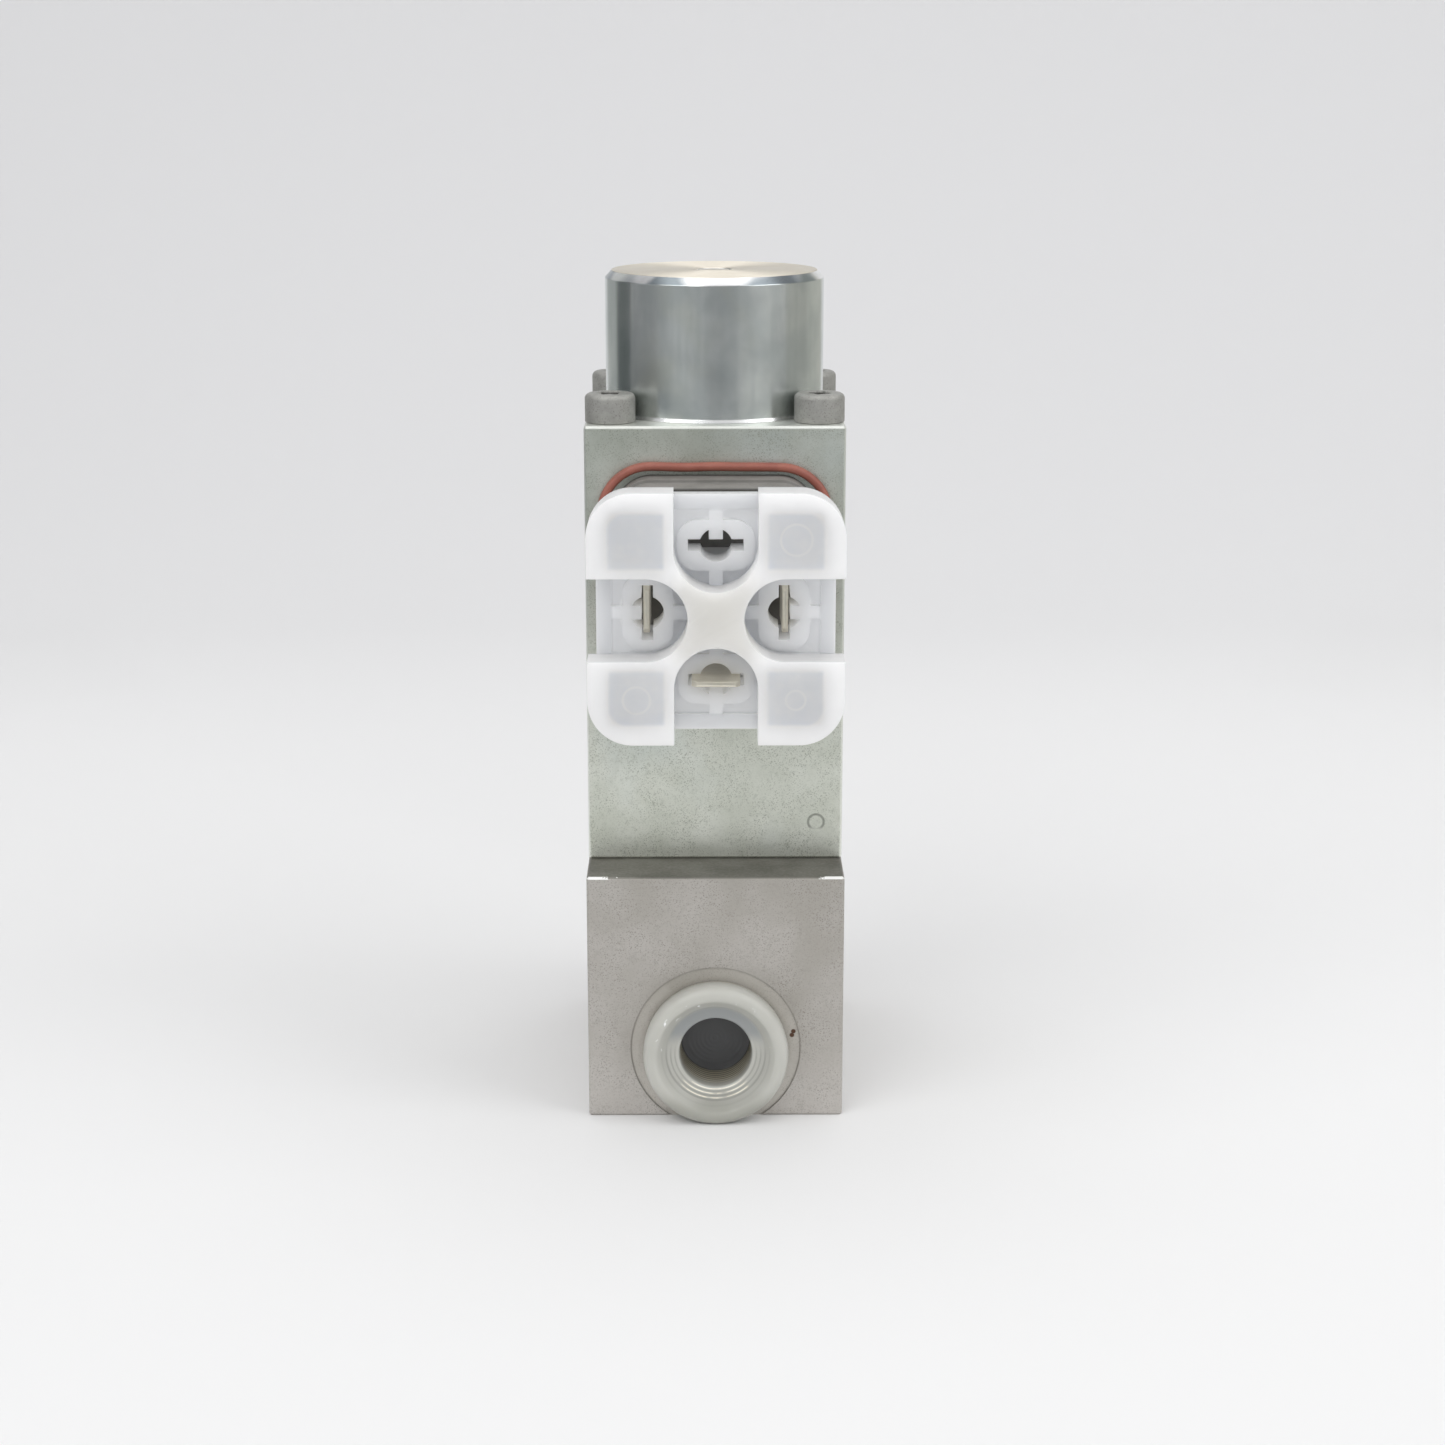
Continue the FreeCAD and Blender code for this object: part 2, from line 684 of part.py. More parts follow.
def make_end_cap():
    """Thick turned cap: a spigot, a flared foot, a bore for the tube, a hole for the pin."""
    spigot = "(cap_spigot_radius - fit_gap)"
    foot = f"({COIL_TOP} + cap_spigot_gap)"
    bore = "(tube_radius + tube_wall + fit_gap)"
    shoulder = f"({COLLAR_HEIGHT} + pin_collar_high + fit_gap)"
    hole = "(pin_head_radius + 2 * fit_gap)"
    seal = f"({HOUSING_TOP} + tube_seal_place)"
    high = f"{seal} + tube_groove_wide / 2"
    low = f"{seal} - tube_groove_wide / 2"
    wall = f"({bore} + tube_groove_deep)"
    profile = [(bore, foot), (spigot, foot), (spigot, HOUSING_TOP),
               ("cap_radius + cap_flare_wide", HOUSING_TOP),
               ("cap_radius + cap_flare_wide", f"{HOUSING_TOP} + cap_flare_edge"),
               ("cap_radius", f"{HOUSING_TOP} + cap_flare_high"),
               ("cap_radius", f"{CAP_TOP} - cap_bevel_high"),
               ("cap_radius - cap_bevel_deep", CAP_TOP), (f"{hole} + pin_edge", CAP_TOP),
               (hole, f"{CAP_TOP} - pin_edge"), (hole, shoulder), (bore, shoulder),
               (bore, high), (wall, high), (wall, low), (bore, low)]
    finish(turned("end_cap", profile), "end_cap")
    seal_between("tube_seal", bore, wall, seal)


def make_lower_yoke():
    inner = "(tube_radius + tube_wall + fit_gap)"
    outer = "(coil_bore_radius - 2 * fit_gap)"
    foot = "(block_high + pole_flange_high)"
    profile = [(inner, foot), (outer, foot), (outer, COIL_FOOT), (inner, COIL_FOOT)]
    finish(turned("lower_yoke", profile), "lower_yoke")


def make_coil():
    inner = "(tube_radius + tube_wall + 2 * fit_gap)"
    hub = f"({inner} + bobbin_hub)"
    foot = f"({COIL_FOOT} + 2 * fit_gap)"
    top = f"({COIL_TOP} - 2 * fit_gap)"
    low = f"({foot} + bobbin_flange)"
    high = f"({top} - bobbin_flange)"
    profile = [(inner, foot), ("bobbin_radius", foot), ("bobbin_radius", low), (hub, low), (hub, high),
               ("bobbin_radius", high), ("bobbin_radius", top), (inner, top)]
    finish(turned("coil_bobbin", profile), "coil_bobbin")
    profile = [(f"{hub} + fit_gap", f"{low} + fit_gap"), ("winding_radius", f"{low} + fit_gap"),
               ("winding_radius", f"{high} - fit_gap"), (f"{hub} + fit_gap", f"{high} - fit_gap")]
    finish(turned("coil_winding", profile), "coil_winding")


def mirrored(name, piece, axis):
    """A piece and its mirror image in one group of separate solids."""
    image = doc.addObject("Part::Mirroring", name + "_image")
    image.Source = piece
    image.Normal = axis
    group = doc.addObject("Part::Compound", name + "_pair")
    group.Links = [piece, image]
    doc.recompute()
    return group


def make_flange_seal():
    thickness = "flange_seal_depth / 2 - press_gap"
    middle = "(seat_bore_radius + flange_seal_radius) / 2"
    ring("flange_seal", middle, thickness, "block_high - flange_seal_depth / 2")


def make_housing_screws():
    """Four M4 socket-head screws through the housing into the valve block."""
    body = new_body("housing_screw")
    sketch = circles(body, "head_circle", "XY_Plane", [("0", "0")], "screw_head_radius")
    pad(body, "screw_head", sketch, "screw_head_high")
    sketch = circles(body, "shank_circle", "XY_Plane", [("0", "0")], "screw_radius", "-screw_length")
    pad(body, "screw_shank", sketch, "screw_length")
    dress(body, "Fillet", "head_round", "screw_head_round", rim("screw_head_radius", "screw_head_high"))
    sketch = circles(body, "socket_circle", "XY_Plane", [("0", "0")], "socket_radius", "screw_head_high")
    cut(body, "socket", sketch, "socket_depth")
    sketch = circles(body, "lobe_circle", "XY_Plane", [("socket_lobe_place", "0")],
                     "socket_lobe_radius", "screw_head_high")
    lobe = cut(body, "lobe", sketch, "socket_depth")
    repeat(body, "lobes", [lobe], 6)
    body.setExpression("Placement.Base.x", bound("screw_place_x"))
    body.setExpression("Placement.Base.y", bound("screw_place_y"))
    body.setExpression("Placement.Base.z", bound(HOUSING_TOP))
    pair = mirrored("screws_across", body, FreeCAD.Vector(1, 0, 0))
    finish(mirrored("screws_along", pair, FreeCAD.Vector(0, 1, 0)), "housing_screws")


# ------------------------------------------------------------------ connector
# Each connector piece is drawn as seen from the front: its own Z axis points
# out of the housing's front face, its own Y axis points up.

FACING_FRONT = 90
CONNECTOR_PLACE = ("0", "-housing_wide / 2", "connector_height")


def on_connector(piece, name):
    return finish(piece, name, CONNECTOR_PLACE, FACING_FRONT)


def make_blade(name, turn, tip):
    """A flat blade with a foot bent towards the coil, turned about the connector's axis."""
    near = "(blade_place - blade_thick / 2)"
    body = new_body(name)
    side = "blade_wide / 2"
    corner = f"{side} - blade_corner"
    shoulder = f"{tip} - blade_corner"
    corners = [(f"-{side}", "blade_foot"), (side, "blade_foot"), (side, shoulder), (corner, tip),
               (f"-({corner})", tip), (f"-{side}", shoulder)]
    pad(body, name + "_strip", outline(body, name + "_outline", "YZ_Plane", corners, near), "blade_thick")
    foot = [("blade_foot_place", f"-{side}"), (near, f"-{side}"), (near, side), ("blade_foot_place", side)]
    pad(body, name + "_foot", outline(body, name + "_foot_outline", "XY_Plane", foot, "blade_foot"),
        "blade_thick")

    def at_tip(edge):
        lengthwise = edge.BoundBox.YLength > size(side)
        return lengthwise and abs(edge.BoundBox.ZMin - size(tip)) < 1e-4

    dress(body, "Chamfer", name + "_taper", "blade_taper", at_tip)
    stand = FreeCAD.Rotation(FreeCAD.Vector(1, 0, 0), FACING_FRONT)
    spin = FreeCAD.Rotation(FreeCAD.Vector(0, 0, 1), turn)
    finish(body, name, CONNECTOR_PLACE, FACING_FRONT)
    body.Placement.Rotation = stand.multiply(spin)
    doc.recompute()
    return body


def make_coil_leads():
    """Two stiff wires from the winding to the feet of the side blades."""
    body = new_body("coil_lead")
    back = "(-housing_wide / 2 + sqrt(winding_radius ^ 2 - lead_place ^ 2) + lead_radius)"
    sketch = circles(body, "lead_circle", "XY_Plane", [("lead_place", "0")], "lead_radius", back)
    pad(body, "lead_wire", sketch, f"blade_foot - {back}")
    body.Placement = FreeCAD.Placement(FreeCAD.Vector(0, 0, 0),
                                       FreeCAD.Rotation(FreeCAD.Vector(1, 0, 0), FACING_FRONT))
    body.setExpression("Placement.Base.y", bound(CONNECTOR_PLACE[1]))
    body.setExpression("Placement.Base.z", bound(CONNECTOR_PLACE[2]))
    return finish(mirrored("leads", body, FreeCAD.Vector(1, 0, 0)), "coil_leads")


def rounded_pad(body, name, wide, high, corner, foot, top):
    """A pad with round corners between two heights."""
    sketch = rounded_outline(body, name + "_outline", wide, high, corner, foot)
    return pad(body, name, sketch, f"{top} - ({foot})")


def make_connector_base(inserts):
    """Moulded base of the connector, cast around the blades and the leads."""
    body = new_body("connector_base")
    back = "-(housing_wide / 2 - coil_bore_radius)"
    sketch = circles(body, "spigot_circle", "XY_Plane", [("0", "0")], "base_spigot_radius", back)
    pad(body, "base_spigot", sketch, "base_step_height - " + back)
    rounded_pad(body, "base_flange", "base_wide", "base_wide", "base_round", "0", "base_step_height")
    upper = "(base_wide - 2 * base_step)"
    rounded_pad(body, "base_boss", upper, upper, "base_round - base_step", "base_step_height", "base_high")
    rounded_pad(body, "pedestal", "pedestal_wide", "pedestal_wide", "pedestal_round", "base_high",
                "pedestal_high")
    sketch = circles(body, "nut_circle", "XY_Plane", [("0", "0")], "nut_radius", "pedestal_high")
    cut(body, "nut_hole", sketch, "pedestal_high - nut_foot")
    on_connector(body, "connector_base_blank")
    parts.remove(body)
    group = doc.addObject("Part::Compound", "moulded_in")
    group.Links = inserts
    base = doc.addObject("Part::Cut", "base_with_inserts")
    base.Base = body
    base.Tool = group
    finish(base, "connector_base")


def make_connector_nut():
    """M3 threaded insert for the screw that would hold a cable socket."""
    outer = "nut_radius - press_gap"
    profile = [("nut_bore_radius", "nut_foot"), (outer, "nut_foot"), (outer, "pedestal_high"),
               ("nut_bore_radius + edge_break", "pedestal_high"),
               ("nut_bore_radius", "pedestal_high - edge_break")]
    on_connector(turned("connector_nut", profile), "connector_nut")


def make_connector_gasket():
    body = new_body("connector_gasket")
    rounded_pad(body, "gasket_pad", "gasket_wide", "gasket_high", "gasket_round", "fit_gap", "gasket_thick")
    sketch = rounded_outline(body, "gasket_hole_outline", "gasket_hole", "gasket_hole", "base_round",
                             "gasket_thick")
    cut(body, "gasket_hole", sketch, "gasket_thick")
    on_connector(body, "connector_gasket")


def quarters(name, build):
    """Four bodies from one builder, a quarter turn apart about the connector's axis."""
    bodies = []
    for quarter in range(4):
        body = new_body(f"{name}_{quarter}")
        build(body, f"{name}_{quarter}")
        turn = FreeCAD.Rotation(FreeCAD.Vector(0, 0, 1), 90 * quarter)
        body.Placement = FreeCAD.Placement(FreeCAD.Vector(0, 0, 0), turn)
        bodies.append(body)
    doc.recompute()
    return bodies


def cap_notch(body, name):
    """Space of a U notch: open outwards in front of the tray, walled in inside it."""
    high = "shield_front + overshoot"
    middle = "(notch_root + notch_radius)"
    far = f"({middle} + notch_radius)"
    for step, foot, end in (("outer", "tray_front", "shield_high"),
                            ("inner", "tray_floor", "tray_wall_place")):
        points = [("-notch_radius", middle), ("notch_radius", middle), ("notch_radius", end),
                  ("-notch_radius", end)]
        sketch = outline(body, f"{name}_{step}_outline", "XY_Plane", points, foot)
        pad(body, f"{name}_{step}", sketch, f"{high} - {foot}")
    sketch = circles(body, name + "_circle", "XY_Plane", [("0", middle)], "notch_radius", "tray_floor")
    pad(body, name + "_end", sketch, f"{high} - tray_floor")
    points = [("-notch_radius", "tray_wall_place"), ("notch_radius", "tray_wall_place"),
              ("notch_radius", far), ("-notch_radius", far)]
    sketch = outline(body, name + "_wall_outline", "XY_Plane", points, "tray_floor")
    cut(body, name + "_wall", sketch, "tray_front - tray_floor", forward=True)


def cap_tower(body, name):
    """Contact tower with the rib that ties it to the web and to the tray's wall."""
    sketch = rounded_outline(body, name + "_outline", "tower_wide", "tower_thick", "tower_round",
                             "tower_back", ("0", "tower_place"))
    pad(body, name + "_post", sketch, "tray_front - tower_back")
    near = "(notch_root - rib_root)"
    far = "(tray_wall_place + rib_root)"
    sketch = box_outline(body, name + "_rib_outline", "XY_Plane", "rib_wide", f"{far} - {near}",
                         ("0", f"({far} + {near}) / 2"), "tray_floor - rib_root")
    pad(body, name + "_rib", sketch, "rib_high + rib_root")


def cap_hole(body, name):
    """Space of a contact hole: a slot for the blade and an eye with a key tongue in it.

    Behind the tower's front skin the space widens into one hollow.
    """
    foot = "tray_front - tower_skin - overshoot"
    depth = "tower_skin + 2 * overshoot"
    place = [("0", "contact_place")]
    sketch = circles(body, name + "_circle", "XY_Plane", place, "eye_radius", foot)
    pad(body, name + "_eye", sketch, depth)
    sketch = box_outline(body, name + "_tongue_outline", "XY_Plane", "tongue_wide", "eye_radius",
                         ("0", "tongue_place + eye_radius / 2"), foot)
    cut(body, name + "_tongue", sketch, depth, forward=True)
    sketch = box_outline(body, name + "_slot_outline", "XY_Plane", "slot_wide", "slot_thick",
                         ("0", "contact_place"), foot)
    pad(body, name + "_slot", sketch, depth)
    back = "(tower_back - overshoot)"
    sketch = rounded_outline(body, name + "_hollow_outline", "tower_hollow_wide", "tower_hollow_thick",
                             "tower_hollow_round", back, ("0", "tower_place"))
    pad(body, name + "_hollow", sketch, f"tray_front - tower_skin - {back}")


def cap_hollow(body, name):
    """Space inside a corner lug, open at the back behind a thin front skin."""
    middle = "(lug_hollow_near + lug_hollow_far) / 2"
    span = "(lug_hollow_far - lug_hollow_near)"
    foot = "(shield_back - overshoot)"
    sketch = rounded_outline(body, name + "_outline", span, span, "lug_hollow_round", foot,
                             (middle, middle))
    pad(body, name + "_space", sketch, f"shield_front - lug_skin - {foot}")


def make_connector_cap():
    """Soft moulded cap: corner lugs joined by an X web, four slotted towers in a tray."""
    body = new_body("cap_blank")
    rounded_pad(body, "cap_tray", "tray_wide", "tray_high", "tray_round", "shield_back", "tray_front")
    rounded_pad(body, "cap_frame", "shield_wide", "shield_high", "shield_round", "tray_front",
                "shield_front")
    notched = doc.addObject("Part::Cut", "notched_cap")
    notched.Base = body
    notched.Tool = doc.addObject("Part::Compound", "notches")
    notched.Tool.Links = quarters("notch", cap_notch)
    towers = doc.addObject("Part::MultiFuse", "towered_cap")
    towers.Shapes = [notched] + quarters("tower", cap_tower)
    cap = doc.addObject("Part::Cut", "connector_cap_shape")
    cap.Base = towers
    cap.Tool = doc.addObject("Part::Compound", "cap_spaces")
    cap.Tool.Links = quarters("contact_hole", cap_hole) + quarters("lug_hollow", cap_hollow)
    on_connector(cap, "connector_cap")


# ----------------------------------------------------------------- port plugs


def make_port_plug(name, place, turn):
    """Soft plug: a short stem in the thread, a thick round flange and an open dished cup."""
    seat = "(fit_gap - spotface_depth)"
    profile = [("0", "-plug_stem_deep"), ("plug_stem_radius - plug_stem_edge", "-plug_stem_deep"),
               ("plug_stem_radius", "plug_stem_edge - plug_stem_deep"), ("plug_stem_radius", seat),
               ("plug_flange_radius", seat), ("plug_flange_radius", "plug_flange_high"),
               ("plug_crest_radius", "plug_flange_high"), ("plug_dish_radius", "plug_dish_high"),
               ("plug_cup_radius", "plug_cup_mouth"),
               ("plug_cup_radius - plug_cup_draft", "-plug_cup_floor"), ("0", "-plug_cup_floor")]
    body = turned(name, profile)
    edge = rim("plug_flange_radius", "plug_flange_high")
    dress(body, "Fillet", name + "_flange_edge", "plug_flange_round", edge)
    finish(body, name, place, turn)


# --------------------------------------------------------------- the assembly

make_valve_block()
make_seat_insert()
make_seat_seals()
make_valve_ball()
make_spring_plate()
make_ball_spring()
make_push_rod()
make_flange_seal()
make_pole_piece()
make_rod_bush()
make_gap_disc()
make_armature()
make_armature_tube()
make_tube_plug()
make_override_pin()
make_lower_yoke()
make_coil()
make_solenoid_housing()
make_end_cap()
make_housing_screws()
blades = [make_blade("terminal_blade_right", 0, "blade_tip"),
          make_blade("terminal_blade_left", 180, "blade_tip"), make_blade("earth_blade", 270, "earth_tip")]
make_connector_base(blades + [make_coil_leads()])
make_connector_nut()
make_connector_gasket()
make_connector_cap()
make_port_plug("front_port_plug", ("0", "-block_front", "front_port_height"), FACING_FRONT)
make_port_plug("rear_port_plug", ("0", "block_deep - block_front", "rear_port_height"), -FACING_FRONT)

# --------------------------------------------------------- checks and export

for item in doc.Objects:
    if "Invalid" in item.State or "Error" in item.State:
        raise RuntimeError(f"{item.Name} is {item.State}")

os.makedirs("parts", exist_ok=True)
for piece in parts:
    if piece.Shape.isNull() or not piece.Shape.isValid():
        raise RuntimeError(piece.Label + " has no valid shape")
    piece.Shape.exportStep(f"parts/{piece.Label}.step")
    print(piece.Label, len(piece.Shape.Solids), round(piece.Shape.Volume, 1))
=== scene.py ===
import json
import math
from functools import reduce

import bmesh
import bpy
from mathutils import Matrix, Vector, noise


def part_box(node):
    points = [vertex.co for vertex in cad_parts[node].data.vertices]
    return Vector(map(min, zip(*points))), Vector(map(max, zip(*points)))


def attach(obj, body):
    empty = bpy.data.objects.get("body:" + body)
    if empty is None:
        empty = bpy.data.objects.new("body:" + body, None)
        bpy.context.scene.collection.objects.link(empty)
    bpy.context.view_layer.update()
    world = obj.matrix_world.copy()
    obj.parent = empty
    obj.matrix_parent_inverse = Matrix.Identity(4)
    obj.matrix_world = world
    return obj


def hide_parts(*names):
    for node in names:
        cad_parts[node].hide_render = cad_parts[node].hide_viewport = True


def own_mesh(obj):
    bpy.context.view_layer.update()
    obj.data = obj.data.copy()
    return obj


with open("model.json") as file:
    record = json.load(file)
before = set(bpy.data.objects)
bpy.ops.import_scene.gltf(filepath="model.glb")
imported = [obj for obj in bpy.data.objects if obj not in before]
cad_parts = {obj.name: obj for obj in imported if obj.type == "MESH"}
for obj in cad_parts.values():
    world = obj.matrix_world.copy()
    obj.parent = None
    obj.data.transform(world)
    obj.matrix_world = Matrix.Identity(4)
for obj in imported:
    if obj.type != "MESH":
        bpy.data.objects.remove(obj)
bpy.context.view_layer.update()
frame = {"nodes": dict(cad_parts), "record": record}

MM = 0.001
scene = bpy.context.scene
scene.view_settings.view_transform = "Standard"

BODIES = frame["record"]["behaviour"]["bodies"]
BODY_OF = {node: body for body, nodes in BODIES.items() for node in nodes}
SLOT_OF = {row["node"]: row["material_slot"] for row in frame["record"]["subparts"]}

housing_low, housing_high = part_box("solenoid_housing")
block_low, block_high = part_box("valve_block")
cap_low, cap_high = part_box("end_cap")

# Sizes in millimetres.
SCREW_HEAD = 3.5  # radius of a socket head
SPOTFACE = 12.0  # radius of the machined ring round a port
RUST_SPOTS = ((11.0, 12.6), (10.8, 12.05))  # across and up, on the block's front face
CONTACT = 9.0  # from the middle of the connector to a blade
CAP_WALL = 4.6  # from the cap's front to its thin floor
PITCH = 1.337  # of the port's thread
BLADES = ("terminal_blade_left", "terminal_blade_right", "earth_blade")

# ------------------------------------------------------------------ materials


class Paint:
    """A material with one Principled shader and short calls for the nodes that feed it."""

    def __init__(self, name, **constants):
        self.material = bpy.data.materials.new(name)
        self.material.use_nodes = True
        self.tree = self.material.node_tree
        self.shader = self.tree.nodes["Principled BSDF"]
        self.place = self.tree.nodes.new("ShaderNodeTexCoord").outputs["Object"]
        axes = self.tree.nodes.new("ShaderNodeSeparateXYZ")
        self.feed(axes.inputs[0], self.place)
        self.x, self.y, self.z = axes.outputs
        for socket, value in constants.items():
            self.shader.inputs[socket.replace("_", " ")].default_value = value

    def feed(self, socket, value):
        """Link a socket, or set a plain value, on an input."""
        if isinstance(value, bpy.types.NodeSocket):
            self.tree.links.new(value, socket)
        else:
            socket.default_value = value

    def set(self, name, value):
        self.feed(self.shader.inputs[name], value)

    def stretched(self, stretch):
        mapping = self.tree.nodes.new("ShaderNodeMapping")
        mapping.inputs["Scale"].default_value = stretch
        self.feed(mapping.inputs["Vector"], self.place)
        return mapping.outputs["Vector"]

    def noise(self, grain, detail=3.0, stretch=(1, 1, 1), rough=0.55):
        """Noise whose features are about grain millimetres across."""
        node = self.tree.nodes.new("ShaderNodeTexNoise")
        node.inputs["Scale"].default_value = 1.0 / (grain * MM)
        node.inputs["Detail"].default_value = detail
        node.inputs["Roughness"].default_value = rough
        self.feed(node.inputs["Vector"], self.stretched(stretch))
        return node.outputs["Fac"]

    def specks(self, spacing):
        """Distance to the nearest of random points about spacing millimetres apart."""
        node = self.tree.nodes.new("ShaderNodeTexVoronoi")
        node.inputs["Scale"].default_value = 1.0 / (spacing * MM)
        self.feed(node.inputs["Vector"], self.place)
        return node.outputs["Distance"]

    def facing_up(self):
        """How far the surface looks upwards, from -1 to 1, in the object's own frame."""
        coordinate = self.tree.nodes.new("ShaderNodeTexCoord")
        node = self.tree.nodes.new("ShaderNodeSeparateXYZ")
        self.feed(node.inputs[0], coordinate.outputs["Normal"])
        return node.outputs["Z"]

    def maths(self, operation, first, second=0.5):
        node = self.tree.nodes.new("ShaderNodeMath")
        node.operation = operation
        for socket, value in zip(node.inputs, (first, second)):
            self.feed(socket, value)
        return node.outputs[0]

    def plus(self, first, second):
        return self.maths("ADD", first, second)

    def minus(self, first, second):
        return self.maths("SUBTRACT", first, second)

    def times(self, first, second):
        return self.maths("MULTIPLY", first, second)

    def larger(self, first, second):
        return self.maths("MAXIMUM", first, second)

    def size(self, value):
        return self.maths("ABSOLUTE", value)

    def length(self, first, second):
        """Root of the sum of two squares."""
        squares = [self.maths("POWER", value, 2.0) for value in (first, second)]
        return self.maths("SQRT", self.plus(*squares))

    def span(self, value, low, high, start=0.0, end=1.0):
        """Smoothly from start at low to end at high."""
        node = self.tree.nodes.new("ShaderNodeMapRange")
        node.interpolation_type = "SMOOTHSTEP"
        for socket, number in zip(node.inputs, (value, low, high, start, end)):
            self.feed(socket, number)
        return node.outputs[0]

    def blend(self, amount, first, second):
        """A colour between first and second."""
        node = self.tree.nodes.new("ShaderNodeMix")
        node.data_type = "RGBA"
        self.feed(node.inputs["Factor"], amount)
        for socket, colour in ((node.inputs[6], first), (node.inputs[7], second)):
            linked = isinstance(colour, bpy.types.NodeSocket)
            self.feed(socket, colour if linked else (*colour, 1.0))
        return node.outputs[2]

    def radius_from(self, x, z):
        """Distance in metres from a line along Y through x and z."""
        return self.length(self.minus(self.x, x), self.minus(self.z, z))

    def patches(self, grain, detail, low=0.3, high=0.7, start=0.0, end=1.0, **shape):
        """Noise, spread so that low gives start and high gives end."""
        return self.span(self.noise(grain, detail, **shape), low, high, start, end)

    def band(self, value, rise, fall, strength=1.0):
        """Up over the two ends of rise and down again over those of fall, in millimetres."""
        up = self.span(value, rise[0] * MM, rise[1] * MM)
        down = self.span(value, fall[1] * MM, fall[0] * MM, 0.0, strength)
        return self.times(up, down)

    def pitted(self, colour, clusters, pits, dark):
        """A colour with clustered dark specks; pits gives their spacings and strengths."""
        for spacing, strength in pits:
            spots = self.span(self.specks(spacing), 0.36, 0.20, 0.0, strength)
            colour = self.blend(self.times(spots, clusters), colour, dark)
        return colour

    def bump(self, height, depth, strength=1.0):
        """Relief depth millimetres deep."""
        node = self.tree.nodes.new("ShaderNodeBump")
        node.inputs["Strength"].default_value = strength
        node.inputs["Distance"].default_value = depth * MM
        self.feed(node.inputs["Height"], height)
        self.feed(self.shader.inputs["Normal"], node.outputs["Normal"])

    def grained(self, grain, smoothest, roughest, depth, strength):
        """A fine grain in the roughness and the relief; returns the finished material."""
        texture = self.noise(grain, 4)
        self.set("Roughness", self.span(texture, 0.3, 0.7, smoothest, roughest))
        self.bump(texture, depth, strength)
        return self.material


def housing_zinc():
    """Passivated zinc plate: cloudy grey-green, pitted with fine dark specks, with painted shade
    towards the top and painted highlights along its edges.
    """
    paint = Paint("housing_zinc", Metallic=0.8)
    low = paint.blend(paint.patches(9, 6, 0.3, 0.72), (0.66, 0.685, 0.60), (0.83, 0.85, 0.775))
    high = paint.blend(paint.patches(7, 6, 0.3, 0.72), (0.50, 0.53, 0.47), (0.62, 0.65, 0.59))
    # painted shade: the colour runs from light low down, where the floor's light would reflect, to
    # darker towards the top
    height = paint.span(paint.z, housing_low.z, housing_high.z - 8 * MM)
    colour = paint.blend(height, low, high)
    blue = paint.patches(17, 3, 0.5, 0.75, 0.0, 0.35, stretch=(1, 1, 0.6))
    colour = paint.blend(blue, colour, (0.68, 0.76, 0.77))
    mottle = paint.patches(0.9, 5, 0.5, 0.72, 0.0, 0.45, rough=0.7)
    colour = paint.blend(mottle, colour, (0.46, 0.49, 0.42))
    clusters = paint.patches(3.2, 4, 0.35, 0.65, 0.25, 1.0)
    colour = paint.pitted(colour, clusters, ((0.30, 0.55), (0.19, 0.45)), (0.27, 0.29, 0.23))
    # painted highlight: a light strip along the top and side edges
    half = housing_high.x
    top_edge = paint.span(paint.z, housing_high.z - 0.5 * MM, housing_high.z - 0.3 * MM)
    side_edge = paint.span(paint.size(paint.x), half - 0.3 * MM, half - 0.15 * MM)
    edges = paint.times(paint.larger(top_edge, side_edge), 0.6)
    colour = paint.blend(edges, colour, (0.88, 0.89, 0.85))
    punch = paint.radius_from(half - 3.7 * MM, housing_low.z + 5.4 * MM)
    mark = paint.band(punch, (0.85, 1.05), (1.2, 1.35))
    upper = paint.span(paint.z, housing_low.z + 4.2 * MM, housing_low.z + 4.8 * MM)
    mark = paint.times(mark, paint.times(upper, 0.6))
    front = paint.span(paint.y, housing_low.y + 1.0 * MM, housing_low.y + 0.5 * MM)
    colour = paint.blend(paint.times(mark, front), colour, (0.16, 0.17, 0.14))
    paint.set("Base Color", colour)
    return paint.grained(0.5, 0.38, 0.52, 0.02, 0.5)


